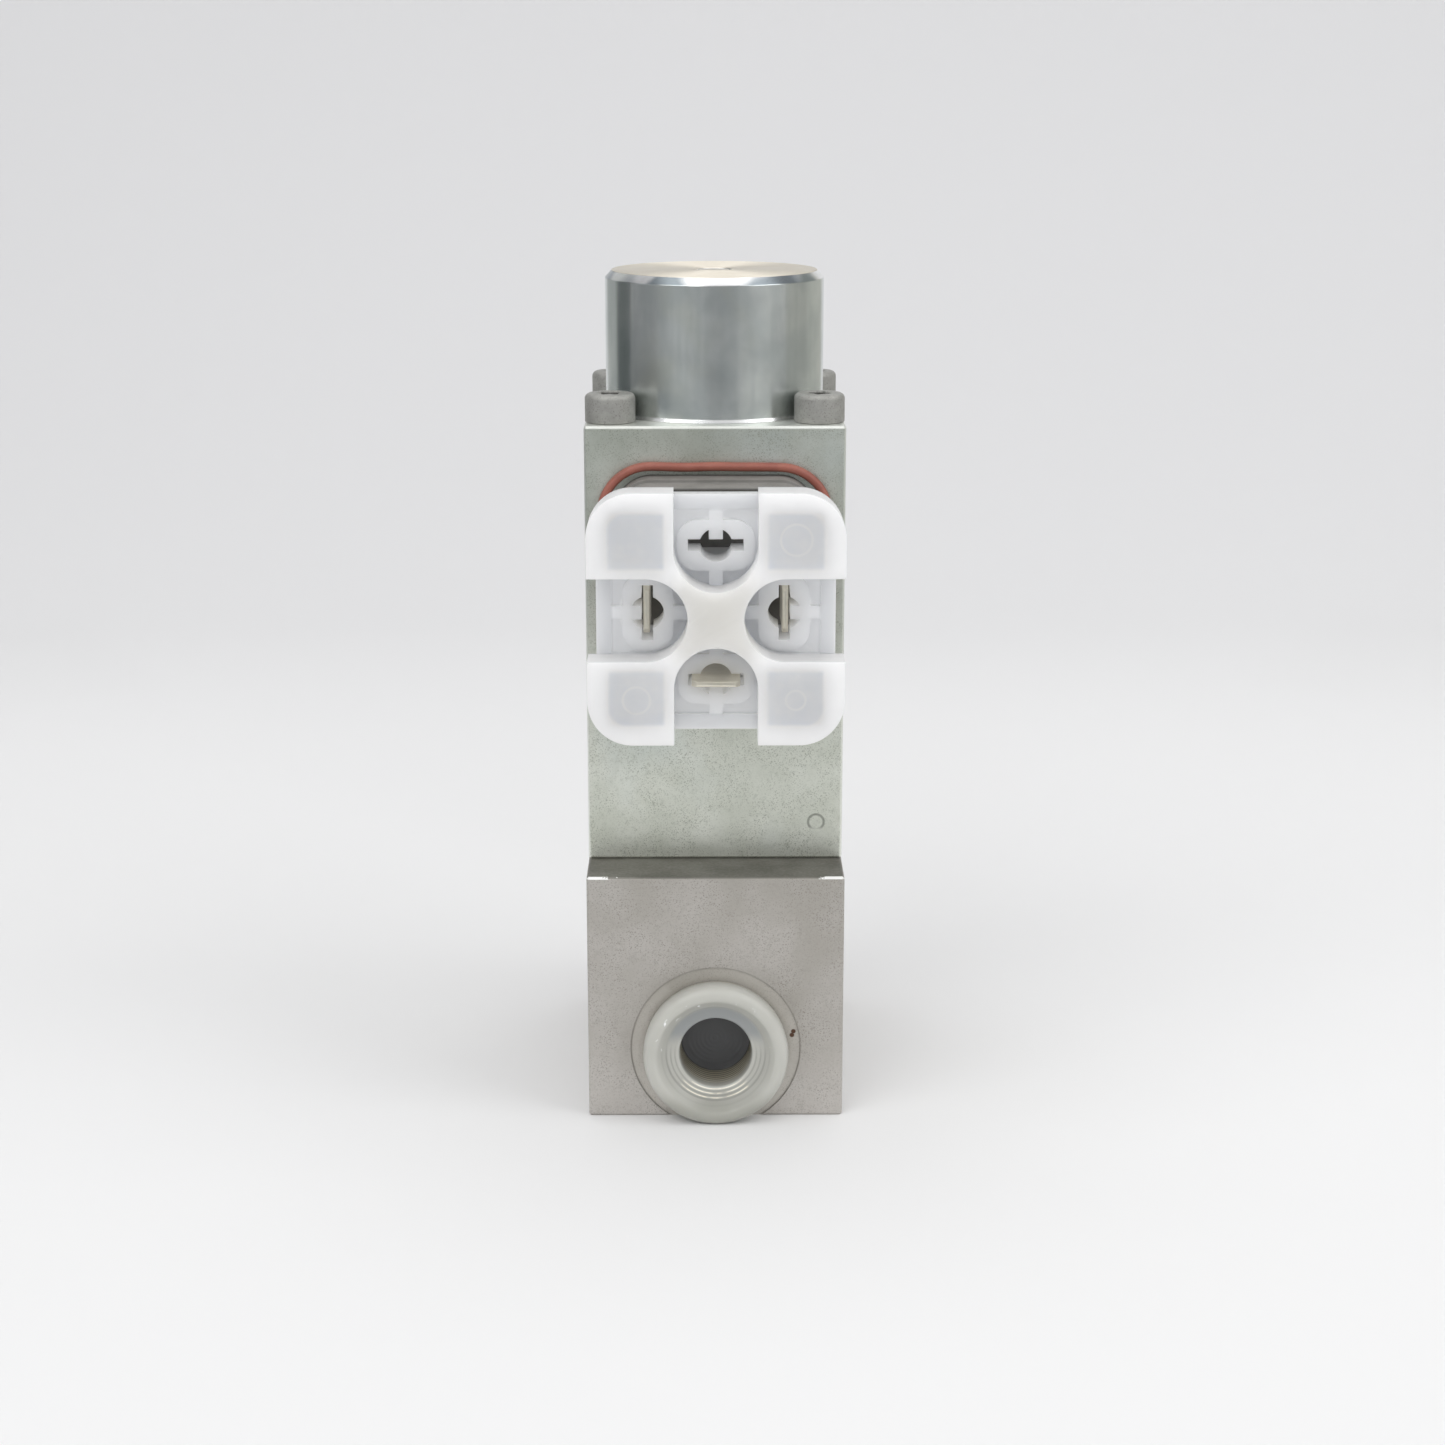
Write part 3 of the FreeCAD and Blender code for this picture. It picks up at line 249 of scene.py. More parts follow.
def bright_zinc():
    """Polished turned zinc: faint clouds of tint, fine turning lines, a warm top face, painted
    reflections on the top bevel and a painted highlight round the foot.
    """
    paint = Paint("bright_zinc", Metallic=1.0, Anisotropic=0.7, Anisotropic_Rotation=0.25)
    side = paint.blend(paint.patches(7, 4, 0.35, 0.7), (0.62, 0.66, 0.65), (0.76, 0.79, 0.77))
    streaks = paint.patches(1.3, 3, 0.35, 0.75, 0.0, 0.35, stretch=(1, 1, 0.08))
    side = paint.blend(streaks, side, (0.54, 0.59, 0.58))
    side = paint.blend(paint.patches(11, 2, 0.55, 0.75, 0.0, 0.3), side, (0.66, 0.66, 0.52))
    # painted reflection: light and dark patches on the bevel round the top face, for the lamps it
    # would mirror
    bevel = paint.span(paint.z, cap_high.z - 1.2 * MM, cap_high.z - 1.0 * MM)
    painted_bevel_reflection = paint.blend(paint.patches(9, 1, 0.42, 0.56), (0.24, 0.28, 0.31), (0.98, 0.98, 0.98))
    side = paint.blend(paint.times(bevel, 0.85), side, painted_bevel_reflection)
    # painted highlight: a white band round the flared foot
    foot = paint.span(paint.z, housing_high.z + 0.7 * MM, housing_high.z + 0.4 * MM)
    side = paint.blend(paint.times(foot, 0.7), side, (0.98, 0.98, 0.98))
    top = paint.span(paint.z, cap_high.z - 0.12 * MM, cap_high.z - 0.05 * MM)
    face = paint.blend(paint.noise(3, 4), (0.83, 0.77, 0.65), (0.90, 0.85, 0.75))
    paint.set("Base Color", paint.blend(top, side, face))
    polish = paint.patches(5, 2, 0.3, 0.7, 0.21, 0.26)
    paint.set("Roughness", paint.plus(polish, paint.times(top, 0.3)))
    paint.bump(paint.noise(0.15, 2, stretch=(0.02, 0.02, 1)), 0.004, 0.6)
    tangent = paint.tree.nodes.new("ShaderNodeTangent")
    tangent.direction_type = "RADIAL"
    tangent.axis = "Z"
    paint.set("Tangent", tangent.outputs[0])
    return paint.material


def block_steel():
    """Warm grey phosphated steel, speckled, with painted shade on the top ledge, painted bounce
    light low down and painted highlights at the upper front corners.
    """
    paint = Paint("block_steel", Metallic=0.45)
    colour = paint.blend(paint.patches(8, 5), (0.41, 0.39, 0.355), (0.485, 0.465, 0.435))
    bounce = paint.span(paint.z, 16.0 * MM, 2.0 * MM, 0.0, 0.55)
    colour = paint.blend(bounce, colour, (0.60, 0.575, 0.545))
    # painted shade: the top ledge under the connector, dark where the connector keeps the light
    # off it
    ledge = paint.span(paint.z, block_high.z - 0.3 * MM, block_high.z - 0.1 * MM, 0.0, 0.8)
    painted_ledge_shade = paint.blend(paint.patches(5, 5), (0.08, 0.08, 0.062), (0.16, 0.16, 0.135))
    colour = paint.blend(ledge, colour, painted_ledge_shade)
    mottle = paint.patches(1.1, 5, 0.5, 0.75, 0.0, 0.45, rough=0.75)
    colour = paint.blend(mottle, colour, (0.33, 0.31, 0.28))
    clusters = paint.patches(4, 4, 0.35, 0.65, 0.25, 1.0)
    colour = paint.pitted(colour, clusters, ((0.34, 0.5), (0.20, 0.5)), (0.20, 0.18, 0.155))
    plug_low, plug_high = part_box("front_port_plug")
    ring = paint.radius_from((plug_low.x + plug_high.x) / 2, (plug_low.z + plug_high.z) / 2)
    disc = paint.span(ring, SPOTFACE * MM, (SPOTFACE - 0.2) * MM, 0.0, 0.45)
    front = paint.span(paint.y, block_low.y + 1.0 * MM, block_low.y + 0.6 * MM)
    colour = paint.blend(paint.times(disc, front), colour, (0.60, 0.575, 0.52))
    spots = [paint.radius_from(x * MM, z * MM) for x, z in RUST_SPOTS]
    rust = paint.span(paint.maths("MINIMUM", *spots), 0.42 * MM, 0.25 * MM)
    face = (block_low.y + 1.0 * MM, block_low.y + 0.5 * MM)
    colour = paint.blend(paint.times(rust, paint.span(paint.y, *face)), colour, (0.10, 0.05, 0.03))
    line = paint.band(ring, (SPOTFACE - 0.25, SPOTFACE - 0.05), (SPOTFACE + 0.05, SPOTFACE + 0.15))
    line = paint.times(line, paint.span(paint.y, *face, 0.0, 0.2))
    colour = paint.blend(line, colour, (0.10, 0.085, 0.07))
    # painted highlight: a light glint along the top front edge near the two upper corners
    brow = paint.span(paint.z, block_high.z - 0.33 * MM, block_high.z - 0.25 * MM)
    nose = paint.span(paint.y, block_low.y + 0.6 * MM, block_low.y + 0.3 * MM)
    across = paint.plus(paint.size(paint.x), paint.times(paint.noise(0.8, 4), 8.0 * MM))
    painted_corner_highlight = paint.times(paint.times(brow, nose), paint.span(across, 18.6 * MM, 19.2 * MM))
    colour = paint.blend(painted_corner_highlight, colour, (0.95, 0.95, 0.93))
    paint.set("Base Color", colour)
    return paint.grained(0.45, 0.42, 0.58, 0.02, 0.5)


def screw_steel():
    """Dull grey phosphated screw heads, a little lighter where they are rubbed."""
    paint = Paint("screw_steel", Metallic=0.6)
    colour = paint.blend(paint.noise(1.2, 5), (0.29, 0.29, 0.27), (0.47, 0.465, 0.44))
    grit = paint.patches(0.22, 3, 0.55, 0.7, 0.0, 0.6)
    colour = paint.blend(grit, colour, (0.17, 0.16, 0.15))
    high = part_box("housing_screws")[1]
    # painted shade: the six-lobed socket drawn nearly black, where little light reaches
    across = paint.minus(paint.size(paint.x), high.x - SCREW_HEAD * MM)
    along = paint.minus(paint.size(paint.y), high.y - SCREW_HEAD * MM)
    socket = paint.times(paint.span(paint.length(across, along), 2.2 * MM, 2.1 * MM),
                         paint.span(paint.z, high.z - 0.1 * MM, high.z - 0.5 * MM))
    paint.set("Base Color", paint.blend(socket, colour, (0.03, 0.028, 0.025)))
    return paint.grained(0.2, 0.45, 0.65, 0.03, 0.6)


def plain_metal(name, low, high, rough, glow=0.0):
    """Machined metal between two tones, with fine lines around its axis.

    The glow stands for light that reaches it through translucent plastic.
    """
    paint = Paint(name, Metallic=1.0, Emission_Color=(*high, 1.0), Emission_Strength=glow)
    paint.set("Base Color", paint.blend(paint.noise(2.5, 4), low, high))
    lines = paint.noise(0.6, 3, stretch=(0.2, 0.2, 1))
    paint.set("Roughness", paint.span(lines, 0.3, 0.7, rough - 0.06, rough + 0.08))
    paint.bump(lines, 0.008, 0.4)
    return paint.material


def copper_winding():
    """Enamelled wire laid turn by turn."""
    paint = Paint("copper_winding", Metallic=1.0, Coat_Weight=0.4, Coat_Roughness=0.15)
    wave = paint.maths("SINE", paint.times(paint.z, 2 * math.pi / (0.35 * MM)))
    shade = paint.span(wave, -1.0, 1.0)
    # painted shade and highlight: each turn lighter on its crown and darker in the crease to the
    # next
    paint.set("Base Color", paint.blend(shade, (0.45, 0.18, 0.09), (0.85, 0.45, 0.26)))
    paint.set("Roughness", paint.span(paint.noise(1.5, 3), 0.3, 0.7, 0.22, 0.34))
    paint.bump(wave, 0.08)
    return paint.material


def moulded(name, low, high, rough, **constants):
    """Moulded plastic or rubber between two tones, with a fine surface grain."""
    paint = Paint(name, **constants)
    paint.set("Base Color", paint.blend(paint.patches(4, 5), low, high))
    return paint.grained(0.35, rough - 0.06, rough + 0.08, 0.015, 0.5)


def from_middle(paint, middle):
    """Distances across and up from the middle of the connector."""
    return [paint.size(paint.minus(axis, place))
            for axis, place in ((paint.x, middle.x), (paint.z, middle.z))]


def base_plastic():
    """Grey glass-filled plastic, with a painted shadow along its front edge under the protective
    cap.
    """
    paint = Paint("base_plastic")
    low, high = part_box("connector_cap")
    across, up = from_middle(paint, (low + high) / 2)
    # painted shadow: the front edge of the base darkened where the cap shades it
    edge = paint.span(paint.larger(across, up), 11.2 * MM, 12.8 * MM)
    front = housing_low.y - 10.5 * MM
    painted_cap_shadow = paint.span(paint.y, front + 1.4 * MM, front + 0.5 * MM, 0.0, 0.85)
    colour = paint.blend(paint.patches(4, 5), (0.19, 0.185, 0.17), (0.25, 0.24, 0.225))
    paint.set("Base Color", paint.blend(paint.times(edge, painted_cap_shadow), colour, (0.035, 0.033, 0.03)))
    return paint.grained(0.35, 0.44, 0.58, 0.015, 0.5)


def cap_plastic():
    """Milky soft polyethylene, bluer where it is thin, with the blades showing through."""
    paint = Paint("cap_plastic", IOR=1.5, Transmission_Weight=0.05, Subsurface_Weight=1.0,
                  Subsurface_Scale=0.007)
    paint.shader.inputs["Subsurface Radius"].default_value = (1.0, 1.0, 1.0)
    low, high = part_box("connector_cap")
    middle = (low + high) / 2
    across, up = from_middle(paint, middle)
    near = paint.times(*[paint.span(side, 6.3 * MM, 7.0 * MM) for side in (across, up)])
    beyond = [paint.larger(paint.minus(side, 11.6 * MM), 0.0) for side in (across, up)]
    window = paint.times(near, paint.span(paint.length(*beyond), 2.4 * MM, 1.8 * MM))
    window = paint.times(window, paint.patches(6, 3, 0.3, 0.7, 0.6, 1.0))
    floor = low.y + CAP_WALL * MM
    tray = paint.span(paint.y, floor, floor + 0.4 * MM, 0.0, 0.6)
    haze = paint.patches(5, 4)
    milky = paint.blend(haze, (0.95, 0.94, 0.915), (0.985, 0.98, 0.955))
    # painted shade: the middle of the cap darker, where the shaded hollow behind it shows through
    centre = paint.span(paint.radius_from(middle.x, middle.z), 9.0 * MM, 5.0 * MM, 0.0, 0.8)
    milky = paint.blend(centre, milky, (0.59, 0.58, 0.55))
    halos = []
    for blade in BLADES:
        blade_low, blade_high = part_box(blade)
        away = (blade_low + blade_high) / 2 - middle
        away.y = 0.0
        spot = middle + away.normalized() * CONTACT * MM
        edge = paint.radius_from(spot.x, spot.z)
        halos.append(paint.span(edge, 4.6 * MM, 1.2 * MM, 0.0, 0.75))
    milky = paint.blend(reduce(paint.larger, halos), milky, (0.76, 0.72, 0.62))
    colour = paint.blend(paint.larger(window, tray), milky, (0.755, 0.795, 0.875))
    border = paint.span(paint.larger(across, up), 13.2 * MM, 13.6 * MM)
    rim = paint.span(paint.y, floor - 0.2 * MM, floor + 0.4 * MM, 0.0, 0.75)
    colour = paint.blend(paint.times(border, rim), colour, (0.55, 0.56, 0.575))
    # painted shade: surfaces that face upwards greyer than those facing the front
    upwards = paint.span(paint.facing_up(), 0.55, 0.9, 0.0, 0.75)
    colour = paint.blend(upwards, colour, (0.60, 0.60, 0.60))
    for side_x, side_z, reach in ((1, 1, 2.0), (-1, -1, 1.75), (1, -1, 1.25)):
        edge = paint.radius_from(middle.x + side_x * 10.2 * MM, middle.z + side_z * 10.4 * MM)
        ring = paint.band(edge, (reach - 0.25, reach - 0.05), (reach + 0.05, reach + 0.25), 0.5)
        colour = paint.blend(paint.times(ring, window), colour, (0.95, 0.96, 0.97))
    paint.set("Base Color", colour)
    # painted light: round the blade holes the hollow behind the front wall glows a little, for
    # light that comes in through the plastic
    inside = paint.times(paint.span(paint.y, low.y + 5.3 * MM, low.y + 5.6 * MM),
                         paint.span(paint.y, low.y + 11.0 * MM, low.y + 8.0 * MM))
    holes = []
    for side_x, side_z in ((-1, 0), (1, 0), (0, 1), (0, -1)):
        edge = paint.radius_from(middle.x + side_x * 8.85 * MM, middle.z + side_z * 8.85 * MM)
        holes.append(paint.span(edge, 3.9 * MM, 3.5 * MM))
    lit = paint.times(inside, reduce(paint.larger, holes))
    paint.set("Emission Color", (0.93, 0.91, 0.86, 1.0))
    paint.set("Emission Strength", paint.times(lit, 0.09))
    paint.set("Roughness", paint.span(haze, 0.0, 1.0, 0.42, 0.52))
    return paint.material


def plug_plastic():
    """Milky soft polyethylene of the port plugs, with the port's thread behind it, painted shade
    in the cup and low down, and painted glints.
    """
    paint = Paint("plug_plastic", IOR=1.5, Transmission_Weight=0.05, Subsurface_Weight=0.8,
                  Subsurface_Scale=0.002)
    paint.shader.inputs["Subsurface Radius"].default_value = (1.0, 1.0, 1.0)
    port_low, port_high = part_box("front_port_plug")
    rear_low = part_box("rear_port_plug")[0]
    rear = paint.span(paint.y, 0.0, 1.0 * MM)
    height = paint.minus(paint.z, (port_low.z + port_high.z) / 2)
    height = paint.minus(height, paint.times(rear, rear_low.z - port_low.z))
    radius = paint.length(height, paint.x)
    reach = paint.larger(paint.minus(block_low.y, paint.y), paint.minus(paint.y, block_high.y))
    haze = paint.noise(6, 2)
    bright = paint.blend(haze, (0.50, 0.50, 0.46), (0.57, 0.57, 0.53))
    # painted shade: the lower part of the plug darker
    colour = paint.blend(paint.span(height, -4.5 * MM, -8.0 * MM), bright, (0.40, 0.40, 0.36))
    # painted highlights: a few white glints on the flange's ring
    sparks = paint.band(radius, (7.4, 7.8), (8.8, 9.2))
    sparks = paint.times(sparks, paint.patches(1.5, 2, 0.63, 0.69))
    sparks = paint.times(sparks, paint.span(height, -1.0 * MM, 2.0 * MM))
    colour = paint.blend(sparks, colour, (0.97, 0.98, 0.97))
    # painted shade: a darker crescent on the upper inside of the mouth
    crescent = paint.times(paint.span(radius, 7.3 * MM, 6.6 * MM),
                           paint.span(height, 1.0 * MM, 3.5 * MM))
    colour = paint.blend(crescent, colour, (0.36, 0.375, 0.375))
    rings = paint.maths("SINE", paint.times(radius, 2 * math.pi / (0.62 * MM)))
    lower = paint.times(paint.span(radius, 8.0 * MM, 7.0 * MM),
                        paint.span(height, 2.0 * MM, -1.0 * MM))
    lines = paint.times(paint.times(paint.span(rings, 0.0, 0.9), lower), 0.45)
    colour = paint.blend(lines, colour, (0.27, 0.27, 0.245))
    glints = paint.times(paint.span(rings, -0.4, -0.9), paint.span(height, -3.2 * MM, -5.0 * MM))
    glints = paint.times(glints, paint.span(radius, 7.2 * MM, 6.8 * MM))
    glints = paint.times(glints, paint.patches(3.0, 3, 0.38, 0.6))
    colour = paint.blend(glints, colour, (0.98, 0.93, 0.80))
    # painted shade: dark deep in the cup, nearly black at its floor
    colour = paint.blend(paint.span(reach, 1.6 * MM, -1.2 * MM), colour, (0.19, 0.175, 0.135))
    # the port's thread showing through, drawn with painted highlights on its crests
    threads = paint.maths("SINE", paint.times(reach, 2 * math.pi / (0.67 * MM)))
    depths = paint.times(paint.span(reach, 0.6 * MM, 0.0), paint.span(threads, 0.2, 0.9, 0.0, 0.8))
    colour = paint.blend(depths, colour, (0.62, 0.57, 0.44))
    colour = paint.blend(paint.span(reach, -3.6 * MM, -4.2 * MM), colour, (0.085, 0.087, 0.09))
    paint.set("Base Color", colour)
    paint.set("Roughness", paint.span(haze, 0.3, 0.7, 0.30, 0.36))
    paint.bump(paint.times(rings, lower), 0.03, 0.5)
    return paint.material


def stage_paper():
    """Seamless pale backdrop."""
    paint = Paint("stage_paper", Roughness=0.9)
    cloud = paint.blend(paint.noise(300, 3), (0.80, 0.80, 0.80), (0.83, 0.83, 0.825))
    # painted shade: the wall darker than the floor
    wall = paint.span(paint.y, 0.15, 0.50, 0.0, 1.0)
    paint.set("Base Color", paint.blend(wall, cloud, (0.70, 0.70, 0.705)))
    return paint.material


FINISHES = {
    "block_steel": block_steel(),
    "housing_zinc": housing_zinc(),
    "cap_zinc": bright_zinc(),
    "screw_steel": screw_steel(),
    "pin_steel": plain_metal("pin_steel", (0.62, 0.58, 0.48), (0.78, 0.74, 0.66), 0.35),
    "plain_steel": plain_metal("plain_steel", (0.42, 0.42, 0.42), (0.56, 0.56, 0.57), 0.34),
    "bright_steel": plain_metal("bright_steel", (0.62, 0.62, 0.64), (0.78, 0.78, 0.80), 0.20),
    "brass": plain_metal("brass_bronze", (0.62, 0.42, 0.16), (0.80, 0.60, 0.28), 0.28),
    "copper": copper_winding(),
    "blade_metal": plain_metal("blade_tin", (0.52, 0.48, 0.38), (0.78, 0.75, 0.66), 0.34, 0.12),
    "bobbin_plastic": moulded("bobbin_plastic", (0.03, 0.03, 0.03), (0.05, 0.05, 0.05), 0.5),
    "base_plastic": base_plastic(),
    "gasket_silicone": moulded("gasket_silicone", (0.265, 0.085, 0.061), (0.35, 0.124, 0.090), 0.5,
                               Subsurface_Weight=0.1, Subsurface_Scale=0.001),
    "seal_rubber": moulded("seal_rubber", (0.012, 0.012, 0.012), (0.03, 0.03, 0.03), 0.45),
    "cap_plastic": cap_plastic(),
    "plug_plastic": plug_plastic(),
}

# --------------------------------------------------------------------- shapes


def dress(piece, node):
    """Give a piece the finish of its CAD node and let it ride that node's body."""
    slot = SLOT_OF[node]
    piece.data.materials.clear()
    piece.data.materials.append(FINISHES[slot])
    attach(piece, BODY_OF[node])


def new_piece(name, mesh):
    piece = bpy.data.objects.new(name, mesh)
    scene.collection.objects.link(piece)
    return piece


def smooth(piece, angle=35):
    """Smooth shading, with edges above an angle kept sharp."""
    for face in piece.data.polygons:
        face.use_smooth = True
    piece.data.set_sharp_from_angle(angle=math.radians(angle))


def softened(node, width, segments=3):
    """A copy of a CAD node with its sharp edges rounded off, standing for that node."""
    mesh = frame["nodes"][node].data.copy()
    build = bmesh.new()
    build.from_mesh(mesh)
    bmesh.ops.remove_doubles(build, verts=build.verts, dist=1e-6)
    bmesh.ops.dissolve_limit(build, angle_limit=math.radians(0.5), verts=build.verts,
                             edges=build.edges)
    build.to_mesh(mesh)
    build.free()
    piece = new_piece(node + "_skin", mesh)
    bevel = piece.modifiers.new("soft_edges", "BEVEL")
    bevel.width = width * MM
    bevel.segments = segments
    bevel.limit_method = "ANGLE"
    bevel.angle_limit = math.radians(28)
    bevel.use_clamp_overlap = True
    bevel.harden_normals = True
    smooth(piece, 50)
    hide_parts(node)
    dress(piece, node)


def rounded(points, radii, steps=5):
    """A profile with its corners replaced by arcs.

    A radius of 0 keeps the corner, and so does either end of the profile.
    """
    made = []
    for index, (point, radius) in enumerate(zip(points, radii)):
        here = Vector(point)
        if radius == 0 or index in (0, len(points) - 1):
            made.append(here)
            continue
        back = (Vector(points[index - 1]) - here).normalized()
        ahead = (Vector(points[index + 1]) - here).normalized()
        half = back.angle(ahead) / 2
        reach = radius / math.tan(half)
        centre = here + (back + ahead).normalized() * radius / math.sin(half)
        start = here + back * reach - centre
        turn = start.angle_signed(here + ahead * reach - centre)
        for step in range(steps + 1):
            angle = -turn * step / steps
            spun = Vector((start.x * math.cos(angle) - start.y * math.sin(angle),
                           start.x * math.sin(angle) + start.y * math.cos(angle)))
            made.append(centre + spun)
    return made


def lathe(name, profile, place, segments=128, ripple=None):
    """A surface turned about Z from (radius, height) points in millimetres.

    ripple(radius, height, angle) may scale the radius of a profile point at an angle.
    """
    build = bmesh.new()
    rings = []
    for radius, height in profile:
        if radius < 1e-6:
            rings.append([build.verts.new((0, 0, height * MM))])
            continue
        ring = []
        for step in range(segments):
            angle = 2 * math.pi * step / segments
            reach = radius * MM * (ripple(radius, height, angle) if ripple else 1.0)
            point = (reach * math.cos(angle), reach * math.sin(angle), height * MM)
            ring.append(build.verts.new(point))
        rings.append(ring)
    for first, second in zip(rings, rings[1:]):
        for step in range(segments):
            after = (step + 1) % segments
            corners = [first[step % len(first)], first[after % len(first)],
                       second[after % len(second)], second[step % len(second)]]
            unique = list(dict.fromkeys(corners))
            if len(unique) > 2:
                build.faces.new(unique)
    bmesh.ops.recalc_face_normals(build, faces=build.faces)
    mesh = bpy.data.meshes.new(name)
    build.to_mesh(mesh)
    build.free()
    mesh.transform(place)
    piece = new_piece(name, mesh)
    smooth(piece)
    return piece


def axis_place(origin, facing="up"):
    """A matrix that stands a turned piece at an origin, facing up, front or back."""
    turns = {"up": Matrix.Identity(4), "front": Matrix.Rotation(math.pi / 2, 4, "X"),
             "back": Matrix.Rotation(-math.pi / 2, 4, "X")}
    return Matrix.Translation(origin) @ turns[facing]


# --------------------------------------------------------------------- pieces


def make_end_cap():
    """The bright cylinder: a flared foot, a straight side and a bevel round the top face."""
    flare = cap_high.x / MM
    radius = flare - 0.35
    foot = housing_high.z / MM
    top = cap_high.z / MM
    spigot = cap_low.z / MM
    inner, outer, pin_hole = 9.1, 11.9, 2.4
    points = [(inner, spigot), (outer, spigot), (outer, foot + 0.01), (flare, foot + 0.01),
              (flare, foot + 0.1), (radius, foot + 0.5), (radius, top - 1.1), (radius - 1.0, top),
              (2.6, top), (pin_hole, top - 0.2), (pin_hole, top - 8.0), (inner, top - 11.6),
              (inner, spigot)]
    radii = [0, 0, 0, 0.03, 0.03, 0.12, 0.25, 0.25, 0.06, 0.06, 0, 0, 0]
    piece = lathe("end_cap_turned", rounded(points, radii), Matrix.Identity(4), 192)
    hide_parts("end_cap")
    dress(piece, "end_cap")


def make_screw_heads():
    """Four socket heads with a six-lobed recess, on their shanks."""
    low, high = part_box("housing_screws")
    foot = housing_high.z
    head = SCREW_HEAD
    shank = 1.95
    tall = (high.z - foot) / MM
    points = [(0, low.z / MM - foot / MM), (shank, (low.z - foot) / MM), (shank, 0.02),
              (head, 0.02), (head, tall), (1.95, tall), (1.9, tall - 0.25), (1.75, tall - 2.2),
              (0, tall - 2.5)]
    radii = [0, 0.3, 0, 0.15, 0.75, 0.12, 0, 0, 0]
    profile = rounded(points, radii)

    def lobes(radius, height, angle):
        recessed = radius < 2.2 and height > 0.5
        return 0.86 + 0.14 * math.cos(6 * angle) if recessed else 1.0

    for number, (sx, sy) in enumerate(((-1, -1), (1, -1), (-1, 1), (1, 1))):
        centre = Vector((sx * (high.x - head * MM), sy * (high.y - head * MM), foot))
        place = axis_place(centre) @ Matrix.Rotation(0.35 * number, 4, "Z")
        piece = lathe(f"housing_screw_{number + 1}", profile, place, 72, lobes)
        dress(piece, "housing_screws")
    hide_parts("housing_screws")


def make_plug(node, facing):
    """Soft port plug: short ringed stem, thick round flange, dished mouth and open cup."""
    low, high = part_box(node)
    radius = (high.x - low.x) / 2 / MM
    front = facing == "front"
    face = block_low.y if front else block_high.y
    origin = Vector(((low.x + high.x) / 2, face, (low.z + high.z) / 2))
    tall = (face - low.y if front else high.y - face) / MM
    stem = 5.55
    points = [(0, -5.2), (stem - 0.6, -5.2)]
    radii = [0, 0.3]
    for turn in range(3):
        depth = -4.6 + turn * PITCH
        points += [(stem - 0.35, depth), (stem, depth + 0.67)]
        radii += [0.12, 0.12]
    points += [(stem - 0.3, -0.25), (radius - 0.25, -0.25), (radius, 2.2), (radius - 0.2, tall),
               (8.4, tall), (7.0, 2.2), (5.1, 1.8), (4.95, -4.1), (4.4, -4.3), (0, -4.3)]
    radii += [0, 0.4, 1.0, 1.2, 0.9, 0.6, 0.5, 0.25, 0, 0]
    piece = lathe(node + "_turned", rounded(points, radii), axis_place(origin, facing), 128)
    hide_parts(node)
    dress(piece, node)


def make_gasket():
    """Silicone ring, pushed on by hand: it waves a little and sags at the right of its top."""
    low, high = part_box("connector_gasket")
    middle = (low + high) / 2
    half_wide = (high.x - low.x) / 2
    half_high = (high.z - low.z) / 2
    thick = high.y - low.y
    band = 2.2 * MM
    corner = 7.5 * MM
    bend_steps, side_steps = 12, 10
    outline = []
    for quarter in range(4):
        sign_x = (1, -1, -1, 1)[quarter]
        sign_z = (1, 1, -1, -1)[quarter]
        for step in range(bend_steps + 1):
            angle = math.pi / 2 * (quarter + step / bend_steps)
            outline.append((sign_x * (half_wide - corner), sign_z * (half_high - corner), angle))
    path = []
    for index, (x, z, angle) in enumerate(outline):
        path.append((x, z, angle))
        if index % (bend_steps + 1) == bend_steps:
            next_x, next_z = outline[(index + 1) % len(outline)][:2]
            for step in range(1, side_steps):
                share = step / side_steps
                path.append((x + (next_x - x) * share, z + (next_z - z) * share, angle))
    section = [(0.44, 0.0), (0.42, 0.3), (0.44, 0.7), (0.54, 0.95), (0.68, 1.0), (0.84, 1.0),
               (0.98, 0.8), (1.0, 0.2), (0.9, 0.0)]  # shares of the band and of the thickness
    build = bmesh.new()
    rings = []
    for x, z, angle in path:
        ring = []
        wave = noise.noise(Vector((x * 120, z * 120, 3.1)))
        share = min(1.0, max(0.0, (x / MM + 2.0) / 8.0))
        sag = max(0.0, z / half_high) ** 3 * (0.15 + 0.8 * share * share * (3 - 2 * share)) * MM
        for across, up in section:
            reach = corner - band + band * across - 0.25 * MM * abs(wave)
            px = x + reach * math.cos(angle)
            pz = z + reach * math.sin(angle) - sag
            py = high.y - thick * up * (0.86 + 0.14 * wave)
            ring.append(build.verts.new((middle.x + px, py, middle.z + pz)))
        rings.append(ring)
    count = len(section)
    for index, ring in enumerate(rings):
        after = rings[(index + 1) % len(rings)]
        for step in range(count):
            following = (step + 1) % count
            build.faces.new((ring[step], ring[following], after[following], after[step]))
    bmesh.ops.recalc_face_normals(build, faces=build.faces)
    mesh = bpy.data.meshes.new("gasket_ring")
    build.to_mesh(mesh)
    build.free()
    piece = new_piece("gasket_ring", mesh)
    levels = piece.modifiers.new("rounding", "SUBSURF")
    levels.levels = levels.render_levels = 2
    smooth(piece, 180)
    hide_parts("connector_gasket")
    dress(piece, "connector_gasket")


def make_ball_spring():
    """The ball's spring, a smooth-shaded copy with a mesh of its own; the real spring gets shorter
    by the ball's stroke as the valve opens.
    """
    piece = new_piece("ball_spring_coils", frame["nodes"]["ball_spring"].data.copy())
    smooth(piece)
    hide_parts("ball_spring")
    dress(piece, "ball_spring")
    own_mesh(piece)


for node, piece in frame["nodes"].items():
    piece.data.materials.clear()
    piece.data.materials.append(FINISHES[SLOT_OF[node]])

